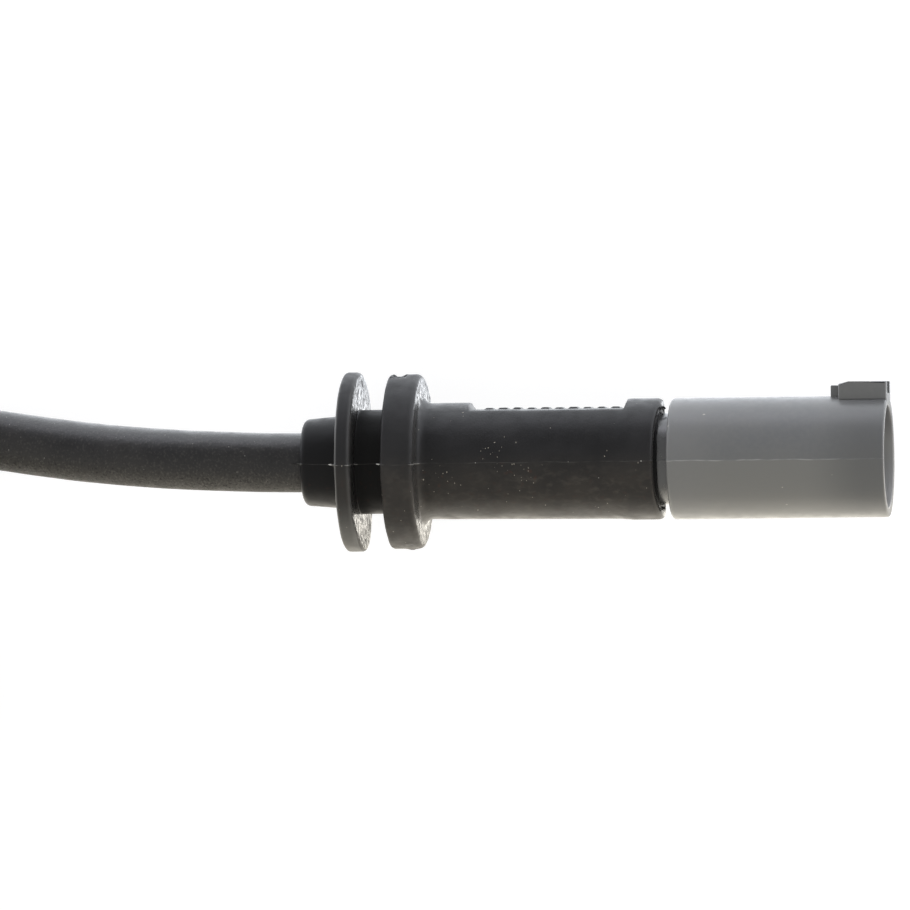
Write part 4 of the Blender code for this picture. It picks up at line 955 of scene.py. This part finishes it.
def make_shell(surface):
    corners = [
        (CARRIER_SEAT_X, 0.0),
        (CARRIER_SEAT_X, TOWER_RADIUS + FIT),
        (SOCKET_FLOOR_X, TOWER_RADIUS + FIT),
        (SOCKET_FLOOR_X, SHELL_RADIUS - SHELL_WALL, 0.15 * MM),
        (RIM_X, SHELL_RADIUS - SHELL_WALL, 0.16 * MM),
        (RIM_X, SHELL_RADIUS, RIM_ROUNDING),
        (SHOULDER_X, SHELL_RADIUS, SHOULDER_ROUNDING),
        (SHOULDER_X, NECK_RADIUS, 0.12 * MM),
        (NECK_BACK_X, NECK_RADIUS),
        (NECK_BACK_X, SPIGOT_RADIUS),
        (BARB_FRONT_X, SPIGOT_RADIUS),
        (BARB_FRONT_X, BARB_BORE - FIT),
        (BARB_BACK_X, SPIGOT_RADIUS),
        (SPIGOT_BACK_X, SPIGOT_RADIUS),
        (SPIGOT_BACK_X, 0.0),
    ]
    profile = fine(rounded(corners), 0.7 * MM, closed=False)
    shell = turned("plug_shell", profile, surface, round_angles(144), shell_form, loop=False)
    cut(shell, make_rails(surface), "UNION")
    seal_floor = SPIGOT_BACK_X + WIRE_SEAL_LENGTH + GAP
    bore = [
        (CARRIER_SEAT_X + GAP, 0.0),
        (CARRIER_SEAT_X + GAP, TERMINAL_BORE),
        (seal_floor, TERMINAL_BORE),
        (seal_floor, WIRE_SEAL_BORE),
        (SPIGOT_BACK_X - GAP, WIRE_SEAL_BORE),
        (SPIGOT_BACK_X - GAP, 0.0),
    ]
    for side in (-1, 1):
        centre = Vector((0, 0, side * TERMINAL_PITCH / 2))
        cut(shell, turned("bore", bore, surface, range(0, 360, 10), centre=centre, loop=False))
    stands_for(shell, "grey_plastic", "connector_shell")


# Cable


def through(points, step):
    """Points about a step apart on a smooth curve through the given ones."""
    ends = [2 * points[0] - points[1], *points, 2 * points[-1] - points[-2]]
    made = []
    for before, a, b, after in zip(ends, ends[1:], ends[2:], ends[3:]):
        pieces = max(1, round((b - a).length / step))
        for k in range(pieces):
            t = k / pieces
            squared = (2 * before - 5 * a + 4 * b - after) * t**2
            cubed = (3 * a - before - 3 * b + after) * t**3
            made.append(0.5 * (2 * a + (b - before) * t + squared + cubed))
    return [*made, points[-1]]


def coil_place(travelled):
    """Centre of the cable after that many degrees of travel round the coil."""
    low, outer = -CABLE_DROP, COIL_RADIUS + CABLE_RADIUS
    stepped = ease((travelled - STEP_IN[0]) / (STEP_IN[1] - STEP_IN[0]))
    slope = LAYER_SLOPE * ease((travelled - CLIMB[0]) / (CLIMB[1] - CLIMB[0]))
    radius = outer - CABLE_DIAMETER * stepped * math.cos(slope)
    z = low + CABLE_DIAMETER * math.sin(slope)
    over_step = travelled - 360 - (STEP_IN[0] + STEP_IN[1]) / 2
    z += (CABLE_DIAMETER - LAYER_RISE) * hill(over_step, CROSSING_REACH)
    to_tie = (JOIN_ANGLE + travelled - TIE_ANGLE + 180) % 360 - 180
    z += TIE_LIFT * hill(to_tie, TIE_LIFT_REACH)
    angle = math.radians(JOIN_ANGLE + travelled)
    return COIL_CENTRE + Vector((radius * math.cos(angle), radius * math.sin(angle), z))


def cable_path():
    route = []
    for back, side, share in ROUTE:
        sag = SAG_DEPTH * hill(back * MM - SAG_PLACE, SAG_PLACE)
        route.append(Vector((NOSE_X - back * MM, side * MM - sag, -CABLE_DROP * share)))
    join = coil_place(0)
    route += [route[-1].lerp(join, share) for share in (1 / 3, 2 / 3)]
    turns = int(LEAVE / COIL_STEP)
    route += [coil_place(LEAVE * k / turns) for k in range(turns + 1)]
    heading = math.radians(JOIN_ANGLE + LEAVE + 90)
    left = Vector((-math.sin(heading), math.cos(heading), 0.0))
    centre = route[-1] + LAST_BEND_RADIUS * left
    start_z = route[-1].z
    bend = math.radians(LAST_BEND)
    for k in range(1, LAST_BEND_PIECES + 1):
        done = k / LAST_BEND_PIECES
        angle = heading + bend * done
        place = centre + LAST_BEND_RADIUS * Vector((math.sin(angle), -math.cos(angle), 0.0))
        share = ease(1 - LAST_BEND_RADIUS * bend * (1 - done) / HEAD_RISE_LENGTH)
        place.z = start_z + (HEAD_REAR.z - start_z) * share
        route.append(place)
    route[-1] = HEAD_REAR - Vector((0.02 * MM, 0.0, 0.0))
    return through(route, MM)


def finer_start(path, reach, pieces):
    """The same path with more points along its first stretch."""
    made, travelled = [], 0.0
    for a, b in zip(path, path[1:]):
        count = pieces if travelled < reach else 1
        made += [a.lerp(b, k / count) for k in range(count)]
        travelled += (b - a).length
    return [*made, path[-1]]


def make_tie(surface):
    """The tie round the coil: a rounded band, its lock on the coil's inner flank and its toothed tail."""
    turn = math.radians(TIE_ANGLE)
    out = Vector((math.cos(turn), math.sin(turn), 0))
    across = Vector((-math.sin(turn), math.cos(turn), 0))
    up = Vector((0, 0, 1))
    half, thick = TIE_WIDTH / 2, TIE_THICKNESS
    corners = ((0, -half), (thick, -half), (thick, half), (0, half))
    section = rounded([(*corner, TIE_ROUNDING) for corner in corners], steps=3)
    lowest = COIL_CENTRE + (TIE_LIFT - CABLE_DROP) * up
    rings = []
    for i, (radius, rise) in enumerate(((0, LAYER_RISE), (CABLE_RADIUS, 0), (-CABLE_RADIUS, 0))):
        for k in range(TIE_STEPS + 1):
            angle = math.radians(TIE_FLANK - 120 * (i + k / TIE_STEPS))
            away = math.cos(angle) * out + math.sin(angle) * up
            middle = lowest + (COIL_RADIUS + radius) * out + rise * up
            rings.append([middle + (CABLE_RADIUS + GAP + a) * away + b * across for a, b in section])
    tie = joined("tie", rings, surface, loop=True)

    flank = math.radians(TIE_FLANK)
    away = math.cos(flank) * out + math.sin(flank) * up
    along = math.sin(flank) * out - math.cos(flank) * up
    here = lowest + (COIL_RADIUS - CABLE_RADIUS / 2) * out + LAYER_RISE / 2 * up
    here += (CABLE_RADIUS + GAP + thick / 2) * away
    on_flank = Matrix.Translation(here) @ Matrix((along, away, -across)).transposed().to_4x4()
    long, high, wide = TIE_LOCK
    lock = block("lock", (-long, 0, -wide), (long, high, wide), surface, TIE_LOCK_ROUNDING)
    window_low, window_high = TIE_WINDOW
    cut(lock, block("window", (long - MM, window_low, -half), (long + MM, window_high, half), surface))
    start, level = -long - TIE_TAIL, TIE_TAIL_LEVEL
    tail = [(0, level + thick), (start, level + thick), (start, level + thick / 2)]
    for k in range(TIE_TEETH):
        x = start + TIE_TOOTH_START + TIE_TOOTH_PITCH * k
        tail += [(x, level), (x + TIE_TOOTH[0], level + TIE_TOOTH[1])]
    strip = plate("tail", [*tail, (0, level)], -half, half, surface, TIE_TAIL_ROUNDING)
    for piece in (lock, strip):
        piece.data.transform(on_flank)
    add_to(tie, [lock, strip])
    stands_for(tie, "tie_plastic", "storage_tie")
    return tie


def make_cable(surface, tie):
    path = cable_path()
    rings = []
    side = Vector((0.0, 1.0, 0.0))
    stations = finer_start(path, FINE_REACH, FINE_PIECES)
    for i, place in enumerate(stations):
        along = heading_at(stations, i)
        side = (side - along * side.dot(along)).normalized()
        ring = []
        for out in directions(side, along.cross(side), CABLE_SIDES):
            at = place + out * CABLE_RADIUS
            swell = 0.015 * MM * wave(*at, 3.5 * MM) + 0.014 * MM * wave(*at, 0.34 * MM, 2.0)
            swell += CABLE_SWELL * hill(place.x - NOSE_X + 30 * MM, 60 * MM)
            ring.append(place + out * (CABLE_RADIUS - 0.02 * MM + swell))
        rings.append(ring)
    cable = joined("cable", rings, surface)
    stands_for(cable, "black_jacket", "cable_run", "cable_coil")


def finish_node(name, slot, surface, edge):
    """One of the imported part's own pieces again, its sharp edges given a small radius."""
    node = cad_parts[name]
    shape = bmesh.new()
    shape.from_mesh(node.data)
    shape.transform(node.matrix_world)
    bmesh.ops.remove_doubles(shape, verts=shape.verts, dist=0.001 * MM)
    bmesh.ops.dissolve_limit(shape, angle_limit=math.radians(1), verts=shape.verts, edges=shape.edges)
    sharp = [e for e in shape.edges if e.is_manifold and e.calc_face_angle() > math.radians(50)]
    bevel(shape, sharp, edge, segments=2, clamp=True)
    stands_for(made_of(name + "_finished", shape, surface, sharp=50), slot, name)


def plain_stage():
    """A white floor that keeps a faint shadow, and looks brighter still in reflections."""
    floor = Surface("floor", FLOOR_GREY, 0.9)
    rays = floor.node("LightPath").outputs
    glow = floor.node("Emission", {"Strength": FLOOR_GLOW}).outputs[0]
    shade = floor.node("BsdfDiffuse", {"Color": (*FLOOR_SHADE, 1)}).outputs[0]
    plain = floor.node("AddShader", {0: glow, 1: shade}).outputs[0]
    across = floor.span(floor.y, -12 * MM, 12 * MM)
    bright = floor.node("Emission", {"Color": floor.mix(across, *FLOOR_IN_REFLECTIONS)}).outputs[0]
    real = floor.node("BsdfDiffuse", {"Color": (*FLOOR_GREY, 1)}).outputs[0]
    mirrored = floor.most(rays["Is Glossy Ray"], rays["Is Transmission Ray"])
    lit = floor.node("MixShader", {0: mirrored, 1: real, 2: bright}).outputs[0]
    shown = floor.node("MixShader", {0: rays["Is Camera Ray"], 1: lit, 2: plain}).outputs[0]
    floor.tree.links.new(shown, floor.tree.nodes["Material Output"].inputs["Surface"])
    mesh = bpy.data.meshes.new("floor")
    corners = ((-1, -1), (1, -1), (1, 1), (-1, 1))
    mesh.from_pydata([(a * FLOOR_REACH, b * FLOOR_REACH, FLOOR_Z) for a, b in corners], [], [(0, 1, 2, 3)])
    mesh.materials.append(floor.material)
    in_scene("floor", mesh)


def studio_light():
    """Soft light from all round: dim overhead, brighter low down, most of all on the rails' side."""
    world = bpy.data.worlds.new("studio")
    bpy.context.scene.world = world
    world.use_nodes = True
    sky = Nodes(world.node_tree)
    place = sky.node("TexCoord").outputs["Generated"]
    y, z = sky.part_of(place, "Y"), sky.part_of(place, "Z")
    sides = sky.mix(sky.span(y, -0.5, 0.7), *SIDE_LIGHT)
    overhead = sky.mix(sky.span(y, -0.45, 0.5), *OVERHEAD_LIGHT)
    around = sky.mix(sky.span(z, 0.05, 0.5), sides, overhead)
    seen = sky.node("LightPath").outputs["Is Camera Ray"]
    shown = sky.mix(seen, around, (1.0, 1.0, 1.0))
    sky.tree.links.new(shown, sky.tree.nodes["Background"].inputs["Color"])

    data = bpy.data.lights.new("mouth_side", "AREA")
    data.size = LAMP_SIZE
    data.energy = LAMP_POWER
    lamp = in_scene("mouth_side", data)
    lamp.location = LAMP_PLACE
    lamp.rotation_euler = (-LAMP_PLACE).to_track_quat("-Z", "Y").to_euler()


def place_camera():
    data = bpy.data.cameras.new("camera")
    data.sensor_width = SENSOR
    data.lens = PIXELS_PER_RADIAN / PICTURE_SIDE * SENSOR
    data.clip_start = 0.01
    data.clip_end = 20.0
    camera = in_scene("camera", data)
    tilted = Matrix.Translation((VIEW_X, VIEW_Y, 0.0)) @ Matrix.Rotation(VIEW_TILT, 4, "Y")
    rolled = tilted @ Matrix.Rotation(-VIEW_ROLL, 4, "Z")
    camera.matrix_world = rolled @ Matrix.Translation((0.0, 0.0, VIEW_DISTANCE))
    bpy.context.scene.camera = camera
    bpy.context.scene.view_settings.view_transform = "Standard"


place_camera()
studio_light()
plain_stage()

JACKET = cable_jacket()
RUBBER = boot_rubber()
PLASTIC = shell_plastic()
INSERT = moulded("insert_plastic", (0.02, 0.02, 0.02), (0.035, 0.035, 0.034), 0.45)
RING = moulded("ring_plastic", (0.6, 0.6, 0.57), (0.72, 0.72, 0.7), 0.45)
SILICONE = moulded("silicone", (0.45, 0.12, 0.03), (0.6, 0.19, 0.06), 0.4)
HEAD_PLASTIC = moulded("head_plastic", (0.02, 0.02, 0.02), (0.038, 0.037, 0.035), 0.5, 0.2 * MM, 0.03 * MM)
TIE_NYLON = moulded("tie_nylon", (0.018, 0.018, 0.018), (0.03, 0.03, 0.03), 0.35)
TIN = metal("tinned_brass", (0.66, 0.63, 0.56), (0.78, 0.75, 0.68), 0.28)
STEEL = metal("spring_steel", (0.55, 0.55, 0.55), (0.62, 0.62, 0.62), 0.3)
COPPER = metal("copper_wire", (0.7, 0.34, 0.2), (0.83, 0.45, 0.3), 0.3)
BROWN = moulded("brown_wire", (0.12, 0.05, 0.02), (0.18, 0.08, 0.035), 0.4)
YELLOW = moulded("yellow_wire", (0.6, 0.42, 0.04), (0.75, 0.54, 0.06), 0.4)

make_cable(JACKET, make_tie(TIE_NYLON))
make_boot(RUBBER)
make_shell(PLASTIC)
for slot, surface, edge, names in (
    ("black_plastic", INSERT, 0.1, ["terminal_carrier"]),
    ("white_plastic", RING, 0.1, ["carrier_retainer"]),
    ("orange_silicone", SILICONE, 0.06, ["interface_seal", "wire_seal_left", "wire_seal_right"]),
    ("tinned_brass", TIN, 0.04, ["terminal_left", "terminal_right", "splice_left", "splice_right"]),
    ("brown_wire", BROWN, 0.05, ["wire_left", "head_wire_left"]),
    ("yellow_wire", YELLOW, 0.05, ["wire_right", "head_wire_right"]),
    ("black_jacket", JACKET, 0.1, ["cable_end_in_boot", "cable_end_in_head"]),
    ("black_rubber", RUBBER, 0.12, ["head_strain_relief"]),
    ("head_plastic", HEAD_PLASTIC, 0.12, ["head_body", "head_cover"]),
    ("spring_steel", STEEL, 0.07, ["head_clip"]),
    ("copper", COPPER, 0.04, ["wear_loop"]),
):
    for name in names:
        finish_node(name, slot, surface, edge * MM)
